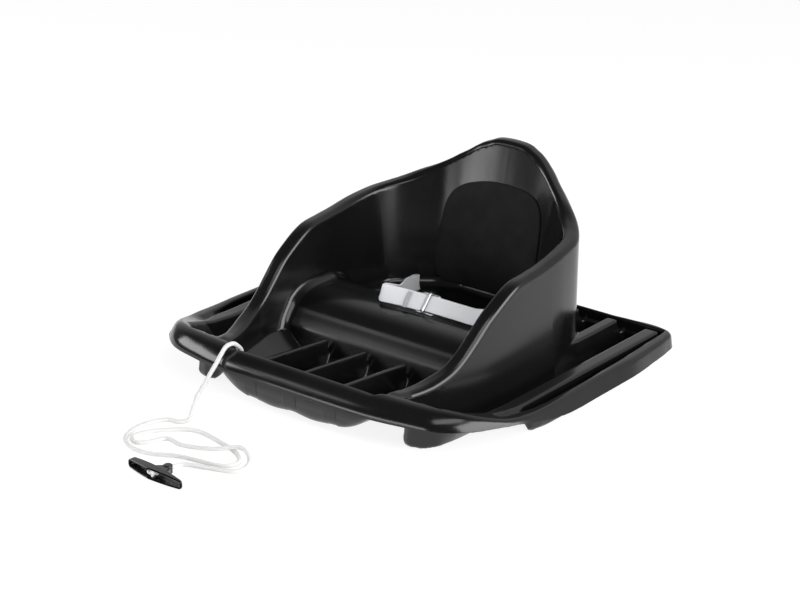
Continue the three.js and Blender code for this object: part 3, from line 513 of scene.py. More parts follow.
def hem_at(y):
    """Height of the skirt's lower edge at a place along the sled."""
    return np.interp(y, reach(hem_rise[:, 0]), skirt_hem + hem_rise[:, 1] * (lip_hem - skirt_hem))


shell_low, shell_high = (0, -246, -7), (285, 246, 252)
shell_step = 3.1
shell_faces, most_kept, hem_band, least_wall = 94000, 0.97, 14, 0.35
shell_points, shell_quads = net(moulding, shell_low, shell_high, shell_step, mirror=True)
shell_points = settle(moulding, shell_points)
outer_gap = skirt(np.abs(shell_points[:, 0]), shell_points[:, 1])
hemmed = (outer_gap > -hem_band) & (shell_points[:, 2] < hem_at(shell_points[:, 1]))
facing = slope_of(moulding, shell_points)[1]
hemmed &= (facing[:, :2] * np.sign(shell_points[:, :2]) > 0.5).any(axis=1)
hemmed |= shell_points[:, 2] < 1
shell_quads = shell_quads[~hemmed[shell_quads].all(axis=1)]
shell_points[hemmed, 2] = hem_at(shell_points[hemmed, 1])
used = np.unique(shell_quads)
renumber = np.full(len(shell_points), -1)
renumber[used] = np.arange(len(used))
outer_mesh = plain_mesh("outer", shell_points[used], renumber[shell_quads])
outer_mesh = fewer(outer_mesh, min(most_kept, shell_faces / (2 * len(shell_quads))))
points, faces = mesh_arrays(outer_mesh)
rim_edges = border_edges(faces)
on_hem = np.zeros(len(points), bool)
on_hem[rim_edges] = True
points[~on_hem] = settle(moulding, points[~on_hem], 2)
points[on_hem, 2] = hem_at(points[on_hem, 1])
_, outward, _ = slope_of(moulding, points)
depth = moulding(*(points - outward * wall).T)
thick = wall * np.clip(-depth / wall, least_wall, 1)[:, None]
under_points = points - outward * thick
under_points[on_hem, 2] = points[on_hem, 2]
count = len(points)
band = np.stack([rim_edges[:, 1], rim_edges[:, 0], rim_edges[:, 0] + count, rim_edges[:, 1] + count], 1)
all_faces = [*faces.tolist(), *(faces[:, ::-1] + count).tolist(), *band.tolist()]
corners = [i for face in all_faces for i in face]
normals = np.vstack([outward, -outward])[corners]
normals[6 * len(faces):] = (0, 0, -1)

# The foot-well's front wall is one thin sheet that runs on before the fins' hollows.
sheet_inset, sheet_margin, sheet_round, sheet_rear, sheet_top = 0.04, 3.0, 1.0, -196.0, 39.0
sheet_low, sheet_high = (-84, -244, -1), (84, -192, 54)
sheet_step = 1.1


def front_wall(x, y, z):
    """Distance to the sheet that closes the fins' hollows in front."""
    sheet = np.abs(seat_room(x, y, z) - 0.5 * wall) - 0.5 * wall + sheet_inset
    from_fin = np.minimum(np.abs(x), np.abs(np.abs(x) - fin_pitch))
    sheet = round_meet(sheet, from_fin - 0.5 * fin_base - sheet_margin, sheet_round)
    return round_meet(sheet, np.maximum(y - sheet_rear, z - sheet_top), sheet_round)


sheet_points, sheet_faces = net(front_wall, sheet_low, sheet_high, sheet_step)
sheet_points = settle(front_wall, sheet_points)
shell_mesh = bpy.data.meshes.new("sled_shell_skin")
shell_mesh.from_pydata((np.vstack([points, under_points, sheet_points]) * 0.001).tolist(), [],
                       all_faces + (sheet_faces + 2 * count).tolist())
shell_mesh.update()
sheet_normals = slope_of(front_wall, sheet_points)[1][sheet_faces.ravel()]


def feed(tree, node, inputs):
    """Sets a node's inputs to values, or links them to the sockets given."""
    for name, value in inputs.items():
        if isinstance(value, bpy.types.NodeSocket):
            tree.links.new(value, node.inputs[name])
        else:
            node.inputs[name].default_value = value


def add_node(tree, kind, inputs, **traits):
    """The outputs of a new shader node with its traits and inputs."""
    node = tree.nodes.new("ShaderNode" + kind)
    for trait, value in traits.items():
        setattr(node, trait, value)
    feed(tree, node, inputs)
    return node.outputs


def new_material(name):
    """A new material, its node tree and its shader."""
    material = bpy.data.materials.new(name)
    material.use_nodes = True
    return material, material.node_tree, material.node_tree.nodes["Principled BSDF"]


# Every finish here goes from a dark to a light tone while a mask rises between two levels.
two_tone = bpy.data.node_groups.new("two_tone", "ShaderNodeTree")
for socket, kind in (("Mask", "Float"), ("Low", "Float"), ("High", "Float"), ("Dark", "Color"),
                     ("Light", "Color")):
    two_tone.interface.new_socket(socket, in_out="INPUT", socket_type="NodeSocket" + kind)
two_tone.interface.new_socket("Tone", in_out="OUTPUT", socket_type="NodeSocketColor")
given = two_tone.nodes.new("NodeGroupInput").outputs
level = add_node(two_tone, "MapRange", {"Value": given["Mask"], "From Min": given["Low"],
                                        "From Max": given["High"]})["Result"]
mixed = add_node(two_tone, "Mix", {0: level, 6: given["Dark"], 7: given["Light"]}, data_type="RGBA")
two_tone.links.new(mixed[2], two_tone.nodes.new("NodeGroupOutput").inputs["Tone"])


def tone_of(tree, mask, low, high, colour, dark, light=1.0):
    """A colour between a darker and a lighter share of itself, set by a mask."""
    tones = [(*[c * share for c in colour], 1) for share in (dark, light)]
    return add_node(tree, "Group", {"Mask": mask, "Low": low, "High": high, "Dark": tones[0],
                                    "Light": tones[1]}, node_tree=two_tone)["Tone"]


def moulded_plastic(name, colour, scale):
    """Glossy moulded plastic: fine skin texture, soft flow marks and light scuffs."""
    material, tree, shader = new_material(name)
    where = add_node(tree, "TexCoord", {})["Object"]
    patch = add_node(tree, "TexNoise", {"Vector": where, "Scale": 9 * scale, "Detail": 5})["Fac"]
    grain = add_node(tree, "TexNoise", {"Vector": where, "Scale": 600 * scale, "Detail": 2})["Fac"]
    scuff = add_node(tree, "TexNoise", {"Vector": where, "Scale": 70 * scale, "Detail": 8,
                                        "Distortion": 2.5})["Fac"]
    rough = add_node(tree, "MapRange", {"Value": patch, "From Min": 0.35, "From Max": 0.7,
                                        "To Min": 0.13, "To Max": 0.19})["Result"]
    scuffed = add_node(tree, "Math", {0: scuff, 1: 0.06, 2: rough}, operation="MULTIPLY_ADD")["Value"]
    skin = add_node(tree, "Bump", {"Height": grain, "Strength": 0.03, "Distance": 0.0002})["Normal"]
    feed(tree, shader, {"Base Color": tone_of(tree, patch, 0.3, 0.75, colour, 0.8, 1.35),
                        "Roughness": scuffed, "Normal": skin, "IOR": 1.5})
    return material


shell_plastic = moulded_plastic("black_moulded_plastic", (0.0052, 0.0052, 0.0055), 1)
shell = place("sled_moulding", shell_mesh, shell_plastic)
shell_mesh.normals_split_custom_set(np.vstack([normals, sheet_normals]).tolist())
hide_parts("sled_shell")
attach(shell, "sled")

# The thin foam pad is cut from one sheet and glued to the seat's back, so it follows the
# wall's bend, with a soft rounded edge and a slight crown.
pad_outline = smooth_line([
    (-3, 45.5), (-45, 46), (-69, 48), (-80, 55), (-85, 70), (-86, 100), (-84, 132), (-81, 153),
    (-74, 167), (-62, 176), (-44, 182), (-26, 186), (-3, 188), (24, 187), (44, 184), (60, 177),
    (71, 166), (77, 148), (80, 121), (81, 90), (80, 66), (75, 53), (62, 47), (38, 45.5)],
    120, closed=True)[:-1]
wall_nearest, wall_farthest, halvings, arc_height = 110.0, 222.0, 22, 115.0


def wall_depth(x, z):
    """How far back the seat's inner wall stands at a place across and a height."""
    near, far = np.full(x.shape, wall_nearest), np.full(x.shape, wall_farthest)
    for _ in range(halvings):
        middle = 0.5 * (near + far)
        air = moulding(x, middle, z) > 0
        near, far = np.where(air, middle, near), np.where(air, far, middle)
    return 0.5 * (near + far)


across = np.linspace(-110, 110, 441)
arc = run_along(np.stack([across, wall_depth(across, np.full(across.shape, arc_height))], 1))
arc -= np.interp(0, across, arc)


def over_wall(places, height):
    """Points at a height over the wall, from places along its arc and up it."""
    x = np.interp(places[:, 0], arc, across)
    base = np.stack([x, wall_depth(x, places[:, 1]), places[:, 1]], 1)
    return base + slope_of(moulding, base, 2.0)[1] * height


def ring_faces(rings, size, start=0):
    """Quads between rings of points that follow each other from a first number."""
    return [(a + i, a + (i + 1) % size, a + size + (i + 1) % size, a + size + i)
            for a in range(start, start + (rings - 1) * size, size) for i in range(size)]


# Share of the outline and height over the wall, from the glued back to the crown.
glue_gap, crown = 0.2, 7.3
pad_steps = [(0.35, glue_gap), (0.7, glue_gap), (1.0, glue_gap), (1.0, 1.4), (0.992, 2.2),
             (0.975, 2.8), (0.94, 3.9), (0.89, 5.2), (0.82, 6.3), (0.73, 6.9), (0.6, 7.2),
             (0.45, crown), (0.3, crown), (0.15, crown)]
pad_middle = np.array([[-2.5, 116.0]])
pad_rings = [over_wall(pad_middle + (pad_outline - pad_middle) * share, height)
             for share, height in pad_steps]
pad_points = np.vstack([over_wall(pad_middle, glue_gap), *pad_rings, over_wall(pad_middle, crown)])
size = len(pad_outline)
pad_faces = ring_faces(len(pad_rings), size, 1)
last = 1 + (len(pad_rings) - 1) * size
for i in range(size):
    j = (i + 1) % size
    pad_faces += [(0, 1 + j, 1 + i), (last + i, last + j, len(pad_points) - 1)]


def face_outward(mesh):
    """Merges a closed mesh's doubled points and turns its faces outward."""
    work = bmesh.new()
    work.from_mesh(mesh)
    bmesh.ops.remove_doubles(work, verts=work.verts, dist=1e-6)
    bmesh.ops.recalc_face_normals(work, faces=work.faces)
    work.to_mesh(mesh)
    work.free()
    return mesh


def foam(name, colour):
    """Closed-cell foam: matt, dark, with a fine open grain and faint blotches."""
    material, tree, shader = new_material(name)
    where = add_node(tree, "TexCoord", {})["Object"]
    cells = add_node(tree, "TexVoronoi", {"Vector": where, "Scale": 900})["Distance"]
    blotch = add_node(tree, "TexNoise", {"Vector": where, "Scale": 45, "Detail": 6})["Fac"]
    grain = add_node(tree, "Bump", {"Height": cells, "Strength": 0.35, "Distance": 0.0003})["Normal"]
    feed(tree, shader, {"Base Color": tone_of(tree, blotch, 0.3, 0.7, colour, 0.8, 1.25),
                        "Roughness": 0.92, "Specular IOR Level": 0.25, "Normal": grain})
    return material


pad = place("back_foam_pad", face_outward(plain_mesh("back_foam_pad", pad_points, pad_faces)),
            foam("grey_black_foam", (0.0095, 0.0095, 0.0098)))
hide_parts("back_pad")
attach(pad, "sled")

# The lap belt is white polyester webbing. Each half comes from a slot low in the seat's
# rear corner, lies over the hump and meets the other half at the slide; the loose end is
# folded back before the far half, under a narrow sewn band.
belt_width, belt_thickness, belt_dish, edge_height, edge_share = 22.0, 1.5, 0.3, 0.5, 0.6
lean_weight = 0.2


def belt_stations(rows, count):
    """Lower edge points, directions along, up and across of a belt's path."""
    line = smooth_line(np.array(rows, float) * (1, 1, 1, lean_weight), count)
    lean = np.radians(line[:, 3] / lean_weight)
    at = line[:, :3]
    along = np.gradient(at, axis=0) * (1, 1, 0)
    along /= np.linalg.norm(along, axis=1)[:, None]
    back = np.stack([-along[:, 1], along[:, 0], np.zeros(len(along))], 1)
    up = np.cos(lean)[:, None] * (0, 0, 1) + np.sin(lean)[:, None] * back
    return at, along, up, np.cross(along, up)


def capped_rings(rings, size, start=0):
    """The faces of a closed bar of rings: its sides and its two ends."""
    first, last = start, start + (rings - 1) * size
    ends = [tuple(range(first, first + size))[::-1], tuple(range(last, last + size))]
    return ring_faces(rings, size, start) + ends


def weave_map(mesh, places):
    """Gives each point of a mesh its place on the webbing, across and along."""
    sheet = mesh.uv_layers.new(name="weave")
    for loop in mesh.loops:
        sheet.data[loop.index].uv = places[loop.vertex_index]


def belt_mesh(name, rows, count):
    """A band of webbing through its stations, with its own map in millimetres."""
    at, along, up, side = belt_stations(rows, count)
    half = belt_thickness / 2
    rises = np.linspace(0.1, 0.9, 7) * belt_width
    section = [(-half * edge_share, 0), (-half, edge_height)] + [(-half, h) for h in rises]
    section += [(-half, belt_width - edge_height), (-half * edge_share, belt_width)]
    section += [(-s, h) for s, h in section[::-1]]
    run = run_along(at)
    points, places = [], []
    for k in range(count):
        for s, h in section:
            dish = belt_dish * math.cos(math.pi * (h / belt_width - 0.5))
            points.append(at[k] + up[k] * h + side[k] * (s + dish))
            places.append((h, run[k]))
    mesh = plain_mesh(name, points, capped_rings(count, len(section)))
    weave_map(mesh, places)
    return face_outward(mesh)


def webbing(name, colour):
    """Woven polyester: ribs along, slanting picks and a soft sheen."""
    material, tree, shader = new_material(name)
    where = add_node(tree, "UVMap", {}, uv_map="weave")["UV"]
    ribs = add_node(tree, "TexWave", {"Vector": where, "Scale": 0.36, "Distortion": 0.6},
                    bands_direction="X")["Fac"]
    picks = add_node(tree, "TexWave", {"Vector": where, "Scale": 0.3, "Distortion": 0.5},
                     bands_direction="DIAGONAL")["Fac"]
    both = add_node(tree, "Math", {0: ribs, 1: picks}, operation="MULTIPLY")["Value"]
    relief = add_node(tree, "Bump", {"Height": both, "Strength": 0.6, "Distance": 0.0004})["Normal"]
    feed(tree, shader, {"Base Color": tone_of(tree, both, 0, 0.55, colour, 0.84),
                        "Roughness": 0.62, "Sheen Weight": 0.25, "Normal": relief})
    return material


left_belt = [
    (-104, 154, 42.4, -84), (-95, 143, 42, -80), (-88, 134, 41.2, -60), (-81, 126, 41, -4),
    (-75, 106, 46, 2), (-66, 74, 57, 12), (-57, 40, 71, 44), (-50, 18, 80, 60),
    (-44, 4, 82.4, 48), (-38, -8, 82.4, 24), (-31, -14, 82.2, 12), (-18, -13, 82.2, 30),
    (0, -10, 82.1, 42), (32.7, -8.5, 82.1, 42)]
right_belt = [
    (32.8, -8.5, 82.1, 42), (59.1, -8.5, 82.1, 42), (85.9, -8.5, 82.1, 42), (111, -8, 82.1, 36),
    (125.3, -1.2, 82.1, 16), (123.5, 21.2, 80.9, 4), (111, 47.2, 73.2, 12), (98.5, 73.2, 52.4, 40),
    (93.1, 99.1, 43.9, 72), (93.5, 124, 42.4, 80), (104, 151, 42.4, 84)]
belt_end = [
    (-40.5, -9, 82.4, 24), (-32.5, -16.8, 82.2, 12), (-18.5, -15.9, 82.2, 30), (0, -12.9, 82, 42),
    (27.7, -11.4, 82.1, 42)]
seam = [(2, -14.6, 82.1, 42), (5, -14.4, 82.1, 42), (8, -14.2, 82.1, 42)]
white_webbing = webbing("white_webbing", (0.93, 0.94, 0.97))
seam_webbing = webbing("grey_seam_webbing", (0.5, 0.53, 0.56))
for name, rows, count, node, material in (
        ("belt_far_half", left_belt, 90, "belt_strap_left", white_webbing),
        ("belt_near_half", right_belt, 110, "belt_strap_right", white_webbing),
        ("belt_loose_end", belt_end, 44, "belt_tail", white_webbing),
        ("belt_seam_band", seam, 5, "belt_tail", seam_webbing)):
    strap = place(name, belt_mesh(name, rows, count), material)
    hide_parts(node)
    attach(strap, "sled")

# Behind the wall each belt end is folded three times on itself and sewn into a stopper
# that can't pass the slot.
layer_pitch, stopper_inset = 3.6, 3.3
layer_section = [(-2.6, -1.62), (-3, 0), (-2.6, 1.62), (2.6, 1.62), (3, 0), (2.6, -1.62)]
layer_rings = [(-16.5, 0.75), (-16, 1), (16, 1), (16.5, 0.75)]
for name, rows, node in (
        ("belt_stopper_far", left_belt, "belt_anchor_left"),
        ("belt_stopper_near", right_belt[::-1], "belt_anchor_right")):
    at, along, up, side = [values[0] for values in belt_stations(rows, 60)]
    middle = at + up * belt_width / 2 - along * stopper_inset
    points, faces = [], []
    for layer in range(4):
        lift = (layer - 1.5) * layer_pitch
        faces += capped_rings(len(layer_rings), len(layer_section), len(points))
        for h, trim in layer_rings:
            for u, v in layer_section:
                points.append(middle + along * u * trim + side * (lift + v * trim) + up * h)
    mesh = face_outward(plain_mesh(name, points, faces))
    spots = [vertex.co * 1000 for vertex in mesh.vertices]
    weave_map(mesh, [(spot.z, spot.x + spot.y) for spot in spots])
    stopper = place(name, mesh, white_webbing)
    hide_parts(node)
    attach(stopper, "sled")


# The slide is bent from plated steel wire: a frame behind the webbing and one bar before
# it. It holds by friction and moves along the belt.
def tube(name, path, radius, sides, closed=False):
    """A round tube along a path in millimetres, with a map around and along it."""
    path = np.array(path, float)
    count = len(path)
    along = np.roll(path, -1, 0) - np.roll(path, 1, 0) if closed else np.gradient(path, axis=0)
    along /= np.linalg.norm(along, axis=1)[:, None]
    side = np.cross(along[0], (0, 0, 1.0))
    if np.linalg.norm(side) < 0.1:
        side = np.cross(along[0], (1.0, 0, 0))
    side /= np.linalg.norm(side)
    frames = []
    for k in range(count):
        side = side - along[k] * (side @ along[k])
        side /= np.linalg.norm(side)
        frames.append((side.copy(), np.cross(along[k], side)))
    twist = 0.0
    if closed:
        end = side - along[0] * (side @ along[0])
        twist = math.atan2(end @ frames[0][1], end @ frames[0][0])
    run = run_along(path)
    points = []
    for k, (first, second) in enumerate(frames):
        for i in range(sides):
            angle = 2 * math.pi * i / sides - twist * k / count
            points.append(path[k] + radius * (math.cos(angle) * first + math.sin(angle) * second))
    faces, maps = [], []
    for k in range(count if closed else count - 1):
        n = (k + 1) % count
        far = run[n] if n else run[-1] + np.linalg.norm(path[0] - path[-1])
        for i in range(sides):
            j, low, high = (i + 1) % sides, i / sides, (i + 1) / sides
            faces.append((k * sides + i, k * sides + j, n * sides + j, n * sides + i))
            maps.append(((low, run[k]), (high, run[k]), (high, far), (low, far)))
    dome = 0.35 * radius
    for end, sign in () if closed else ((0, -1), (count - 1, 1)):
        points.append(path[end] + along[end] * sign * dome)
        for i in range(sides):
            low, high = i / sides, (i + 1) / sides
            ring = (end * sides + i, end * sides + (i + 1) % sides, len(points) - 1)
            flat = ((low, run[end]), (high, run[end]), ((low + high) / 2, run[end] + sign))
            faces.append(ring[::sign])
            maps.append(flat[::sign])
    mesh = bpy.data.meshes.new(name)
    mesh.from_pydata((np.array(points) * 0.001).tolist(), [], faces)
    sheet = mesh.uv_layers.new(name="weave")
    for polygon, flat in zip(mesh.polygons, maps):
        for loop, uv in zip(polygon.loop_indices, flat):
            sheet.data[loop].uv = uv
    mesh.update()
    return mesh


def rounded_corners(corners, radius, closed=False):
    """A polyline with each corner replaced by a small arc."""
    corners = np.array(corners, float)
    line = []
    count = len(corners)
    for k in range(count):
        if not closed and k in (0, count - 1):
            line.append(corners[k])
            continue
        before, here, after = corners[k - 1], corners[k], corners[(k + 1) % count]
        a = here + (before - here) / np.linalg.norm(before - here) * radius
        b = here + (after - here) / np.linalg.norm(after - here) * radius
        for t in np.linspace(0, 1, 7):
            line.append((1 - t) ** 2 * a + 2 * t * (1 - t) * here + t * t * b)
    return np.array(line)


def bright_wire(name, colour):
    """Plated steel wire: bright, with faint dull patches."""
    material, tree, shader = new_material(name)
    where = add_node(tree, "TexCoord", {})["Object"]
    dull = add_node(tree, "TexNoise", {"Vector": where, "Scale": 160, "Detail": 6})["Fac"]
    rough = add_node(tree, "MapRange", {"Value": dull, "To Min": 0.1, "To Max": 0.3})["Result"]
    feed(tree, shader, {"Base Color": tone_of(tree, dull, 0, 1, colour, 0.85),
                        "Metallic": 1, "Roughness": rough})
    return material


slide_at, slide_along, slide_up, slide_side = [v[0] for v in belt_stations(right_belt, 110)]
slide_middle = slide_at + slide_up * belt_width / 2
wire, bar_wire, frame_half, slide_set, slot = 1.2, 1.38, 13.7, 2.4, belt_width / 2 + 1.9


def spot(along, up, out):
    """A point of the slide, from its middle: along the belt, up it and out of it."""
    return slide_middle + slide_along * along + slide_up * up + slide_side * out


frame_line = rounded_corners([spot(along, up, -slide_set) for along, up in (
    (-frame_half, -slot), (frame_half, -slot), (frame_half, slot), (-frame_half, slot))],
    3, closed=True)
bar_line = rounded_corners([spot(0, up, out) for up, out in (
    (-slot, -slide_set), (-slot - 0.8, 0), (0.2 - slot, slide_set),
    (slot - 0.2, slide_set), (slot + 0.8, 0), (slot, -slide_set))], 1.1)
plated = bright_wire("plated_wire", (0.78, 0.79, 0.81))
slide_frame = place("slide_wire_frame", tube("slide_wire_frame", frame_line, wire, 12, closed=True), plated)
slide_bar = place("slide_wire_bar", tube("slide_wire_bar", bar_line, bar_wire, 12), plated)
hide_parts("belt_slide")
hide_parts("belt_slide")
for piece in (slide_frame, slide_bar):
    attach(piece, "slide")

# The pull cord is a limp white braid. It is knotted behind the foot-well's wall, comes up
# over the lip, hangs to the ground and lies there in two loose loops to the handle.
cord_diameter, lying = 5.6, 0.0034
cord_route = [
    (-0.128, -0.188, 0.044), (-0.120, -0.189, 0.045), (-0.113, -0.194, 0.050),
    (-0.109, -0.203, 0.0590), (-0.109, -0.213, 0.0668), (-0.111, -0.2235, 0.066),
    (-0.1125, -0.232, 0.0575), (-0.113, -0.241, 0.048), (-0.112, -0.254, 0.038),
    (-0.107, -0.271, 0.030), (-0.100, -0.290, 0.025), (-0.093, -0.306, 0.016),
    (-0.089, -0.318, 0.006), (-0.097, -0.326, lying), (-0.113, -0.331, lying),
    (-0.124, -0.350, lying), (-0.126, -0.376, lying), (-0.116, -0.401, lying),
    (-0.094, -0.415, lying), (-0.066, -0.415, lying), (-0.030, -0.398, lying),
    (0.030, -0.384, lying), (0.037, -0.368, lying), (0.022, -0.352, lying),
    (-0.020, -0.338, lying), (-0.066, -0.333, lying), (-0.090, -0.350, lying),
    (-0.109, -0.375, lying), (-0.112, -0.393, lying), (-0.098, -0.402, lying),
    (-0.086, -0.391, lying), (-0.076, -0.371, lying), (-0.050, -0.373, lying),
    (-0.010, -0.361, 0.0054), (0.022, -0.345, 0.0102), (0.048, -0.360, 0.0046),
    (0.052, -0.384, lying), (0.018, -0.400, lying), (-0.008, -0.416, 0.006),
    (-0.0095, -0.4322, 0.008)]
cord_line = smooth_line(np.array(cord_route) * 1000, 520)


def braid(name, colour, pitch):
    """Braided cord: two sets of strands that cross, with a soft sheen."""
    material, tree, shader = new_material(name)
    where = add_node(tree, "UVMap", {}, uv_map="weave")["UV"]
    apart = add_node(tree, "SeparateXYZ", {"Vector": where})
    strands = []
    for sign in (1, -1):
        around = add_node(tree, "Math", {0: apart["X"], 1: sign * 8 * math.pi},
                          operation="MULTIPLY")["Value"]
        along = add_node(tree, "Math", {0: apart["Y"], 1: 2 * math.pi / pitch, 2: around},
                         operation="MULTIPLY_ADD")["Value"]
        strands.append(add_node(tree, "Math", {0: along}, operation="SINE")["Value"])
    cross = add_node(tree, "Math", {0: strands[0], 1: strands[1]}, operation="MULTIPLY")["Value"]
    height = add_node(tree, "MapRange", {"Value": cross, "From Min": -1, "From Max": 1})["Result"]
    relief = add_node(tree, "Bump", {"Height": height, "Strength": 0.5, "Distance": 0.0005})["Normal"]
    feed(tree, shader, {"Base Color": tone_of(tree, height, 0, 0.45, colour, 0.8),
                        "Roughness": 0.78, "Sheen Weight": 0.3, "Normal": relief})
    return material


white_braid = braid("white_braid", (0.86, 0.86, 0.85), 5.0)
cord = place("pull_cord_braid", tube("pull_cord_braid", cord_line, cord_diameter / 2, 16), white_braid)
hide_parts("pull_cord")
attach(cord, "sled")

# The cord is tied in an overhand knot behind the foot-well's wall, too thick to slip back
# through the hole. A like knot lies in the handle's hollow, and the handle hangs on it.
lip_knot_radius, end_knot_radius = 2.2, 2.1


def knot_line(middle, turn, sizes, count=140):
    """The line of an overhand knot, drawn tight, set to a middle, a turn and three sizes."""
    t = np.linspace(0, 2 * math.pi, count, endpoint=False)
    line = np.stack([np.sin(t) + 2 * np.sin(2 * t), np.cos(t) - 2 * np.cos(2 * t), -np.sin(3 * t)], 1)
    line = line / np.array([3.0, 3.0, 1.0]) * np.array(sizes)
    return line @ np.array(turn).T + np.array(middle)


lip_knot_line = knot_line((-135.2, -188, 44), [(0, 0, 1), (1, 0, 0), (0, 1, 0)], (4.6, 4.6, 3.6))
lip_knot_mesh = tube("cord_knot_at_lip", lip_knot_line, lip_knot_radius, 12, closed=True)
lip_knot = place("cord_knot_at_lip", lip_knot_mesh, white_braid)
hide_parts("lip_knot")
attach(lip_knot, "sled")

# The handle is moulded in black plastic: a bar that swells to its middle, hollow at its
# back, with a round neck for the cord on a three-sided web.
handle_turn = math.radians(-8)
neck_point = np.array([-10.0, -438.0, 8.0])
neck_reach, neck_radius, neck_half_height, bore_radius = 13.0, 5.5, 5.6, 3.1
bar_half_length, bar_half_height, end_taper, taper_length = 46.2, 7.5, 2.1, 46.0
bar_middle, bar_half_depth, bar_bow, bevel_reach = 6.25, 6.2, 0.0009, 49.2
grip_wall, hollow_floor, bevel_rise, bevel_slack, web_draft = 2.0, 2.2, 0.9, 0.74, 0.1
web_half_height, web_foot, web_spread, web_rear, web_front = 5.2, 5.5, 7.5, -13.5, 1.5
bar_end_round, bevel_round, bar_edge, hollow_round, hollow_edge = 3.2, 1.5, 1.2, 0.8, 0.7
web_side_round, web_end_round, web_fillet, neck_edge, bore_edge = 2.4, 2.0, 2.2, 1.2, 0.5


def handle_frame(x, y, z):
    """Place in the handle's own frame: along the bar, up, and from neck to open side."""
    dx, dy, dz = x - neck_point[0], y - neck_point[1], z - neck_point[2]
    along = dx * math.cos(handle_turn) + dy * math.sin(handle_turn)
    deep = -dx * math.sin(handle_turn) + dy * math.cos(handle_turn)
    return along, dz, -deep - neck_reach


def handle_shape(x, y, z):
    """Distance to the handle's faces."""
    a, b, c = handle_frame(x, y, z)
    half = bar_half_height - end_taper * np.clip(np.abs(a) / taper_length, 0, 1.2) ** 2
    outline = round_meet(np.abs(b) - half, np.abs(a) - bar_half_length, bar_end_round)
    bevel = (np.abs(a) + bevel_rise * np.abs(b) - bevel_reach) * bevel_slack
    outline = round_meet(outline, bevel, bevel_round)
    bar = round_meet(outline, np.abs(c - bar_middle) - bar_half_depth + bar_bow * a * a, bar_edge)
    hollow = round_meet(outline + grip_wall, hollow_floor - c, hollow_round)
    web_width = web_foot + np.clip((c + neck_reach) / neck_reach, -1, 1.2) * web_spread
    web_height = np.abs(b) - web_half_height - web_draft * np.clip(c, -neck_reach, 0)
    web = round_meet(np.abs(a) - web_width, web_height, web_side_round)
    web = round_meet(web, np.maximum(web_rear - c, c - web_front), web_end_round)
    neck = round_meet(np.hypot(a, c + neck_reach) - neck_radius,
                      np.abs(b) - neck_half_height, neck_edge)
    body = round_join(round_join(bar, web, web_fillet), neck, neck_edge)
    body = round_meet(body, -hollow, hollow_edge)
    return round_meet(body, bore_radius - np.hypot(a, b), bore_edge)


grip_low, grip_high, grip_step = (-62, -462, -1), (42, -427, 17), 0.95
grip_points, grip_quads = net(handle_shape, grip_low, grip_high, grip_step)
grip_points = settle(handle_shape, grip_points, 3)
grip_mesh = plain_mesh("pull_handle_grip", grip_points, grip_quads)
grip_plastic = moulded_plastic("handle_plastic", (0.014, 0.014, 0.015), 2.5)
grip = place("pull_handle_grip", grip_mesh, grip_plastic)
_, grip_out, _ = slope_of(handle_shape, grip_points, 0.35)
grip_mesh.normals_split_custom_set_from_vertices(grip_out.tolist())
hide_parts("pull_handle")
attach(grip, "handle")

# The cord's end runs through the neck into the hollow, where it is tied in a knot.
stem_ends, knot_out, knot_aside, knot_rise = (-5.4, 17.6), 20.0, -3.0, 0.8
open_way = np.array([math.sin(handle_turn), -math.cos(handle_turn), 0.0])
bar_way = np.array([math.cos(handle_turn), math.sin(handle_turn), 0.0])
stem_line = np.array([neck_point + open_way * s for s in np.linspace(*stem_ends, 24)])
knot_middle = neck_point + open_way * knot_out + bar_way * knot_aside + np.array([0, 0, knot_rise])
knot_turn = np.stack([bar_way, np.array([0, 0, 1.0]), open_way], 1)
stem = tube("cord_end_stem", stem_line, cord_diameter / 2, 14)
end_knot_line = knot_line(knot_middle, knot_turn, (6.0, 2.9, 2.6))
end_knot = tube("cord_end_knot", end_knot_line, end_knot_radius, 12, closed=True)
end_piece = place("cord_end_knot", end_knot, white_braid)
stem_piece = place("cord_end_stem", stem, white_braid)
for piece in (end_piece, stem_piece):
    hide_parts("handle_knot")
    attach(piece, "handle")

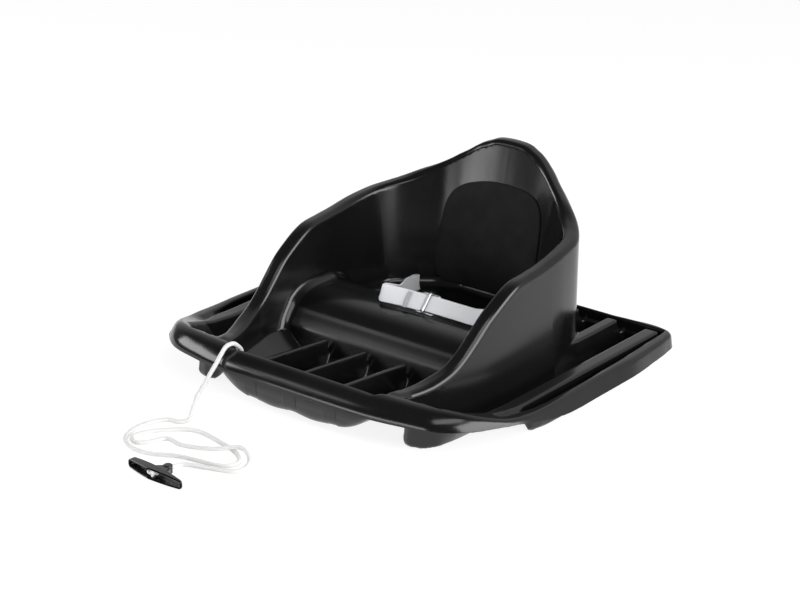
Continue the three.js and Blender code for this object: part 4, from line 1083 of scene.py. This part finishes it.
# Studio: a plain white floor that shines evenly where it is seen, a surround that is
# darker in front than behind, and soft lamps to the left, to the right, high at both
# sides in front, and low in front.
floor_half, floor_drop = 9, -0.0004
floor_mesh = bpy.data.meshes.new("floor")
floor_mesh.from_pydata([(-floor_half, -floor_half, floor_drop), (floor_half, -floor_half, floor_drop),
                        (floor_half, floor_half, floor_drop), (-floor_half, floor_half, floor_drop)],
                       [], [(0, 1, 2, 3)])
floor_paint, tree, shader = new_material("floor_paint")
rays = add_node(tree, "LightPath", {})
seen = rays["Is Camera Ray"]
for kind in ("Is Glossy Ray", "Is Transmission Ray"):
    seen = add_node(tree, "Math", {0: seen, 1: rays[kind]}, operation="MAXIMUM")["Value"]
for socket, unseen_value, seen_value in (("Base Color", 1.0, 0.25), ("Emission Strength", 0.0, 0.87)):
    level = add_node(tree, "MapRange", {"Value": seen, "To Min": unseen_value, "To Max": seen_value})
    feed(tree, shader, {socket: level["Result"]})
feed(tree, shader, {"Roughness": 1, "Specular IOR Level": 0, "Emission Color": (1, 1, 1, 1)})
floor_mesh.materials.append(floor_paint)
floor = bpy.data.objects.new("floor", floor_mesh)
bpy.context.collection.objects.link(floor)
world = bpy.data.worlds.new("surround")
bpy.context.scene.world = world
world.use_nodes = True
tree = world.node_tree
way = add_node(tree, "TexCoord", {})["Generated"]
rearward = add_node(tree, "VectorMath", {0: way, 1: (0, 1, 0)}, operation="DOT_PRODUCT")["Value"]
level = add_node(tree, "MapRange", {"Value": rearward, "From Min": 0.15, "From Max": 0.6,
                                    "To Min": 0.08, "To Max": 0.65})["Result"]
feed(tree, tree.nodes["Background"], {"Color": (1, 1, 1, 1), "Strength": level})


def soft_lamp(name, turn, rise, far, size, brightness):
    """A rectangular soft lamp that looks at the seat from a bearing, a rise and a distance."""
    data = bpy.data.lights.new(name, "AREA")
    data.shape = "RECTANGLE"
    data.size, data.size_y = size
    data.energy = brightness * math.pi * size[0] * size[1]
    lamp = bpy.data.objects.new(name, data)
    bpy.context.collection.objects.link(lamp)
    turn, rise = math.radians(turn), math.radians(rise)
    way_to = Vector((math.sin(turn) * math.cos(rise), -math.cos(turn) * math.cos(rise), math.sin(rise)))
    lamp.location = way_to * far
    lamp.rotation_euler = way_to.to_track_quat("Z", "Y").to_euler()
    lamp.visible_camera = False


soft_lamp("left_lamp", -63, 24, 2.2, (1.2, 0.75), 6.0)
soft_lamp("right_lamp", 88, 25, 2.2, (2.5, 1.1), 6.0)
soft_lamp("high_left_lamp", -44, 40, 2.2, (0.5, 0.3), 2.0)
soft_lamp("high_right_lamp", 45, 52, 2.2, (1.3, 0.6), 3.2)
soft_lamp("low_front_lamp", -13, 6, 2.4, (1.9, 0.44), 5.0)

bpy.context.view_layer.update()
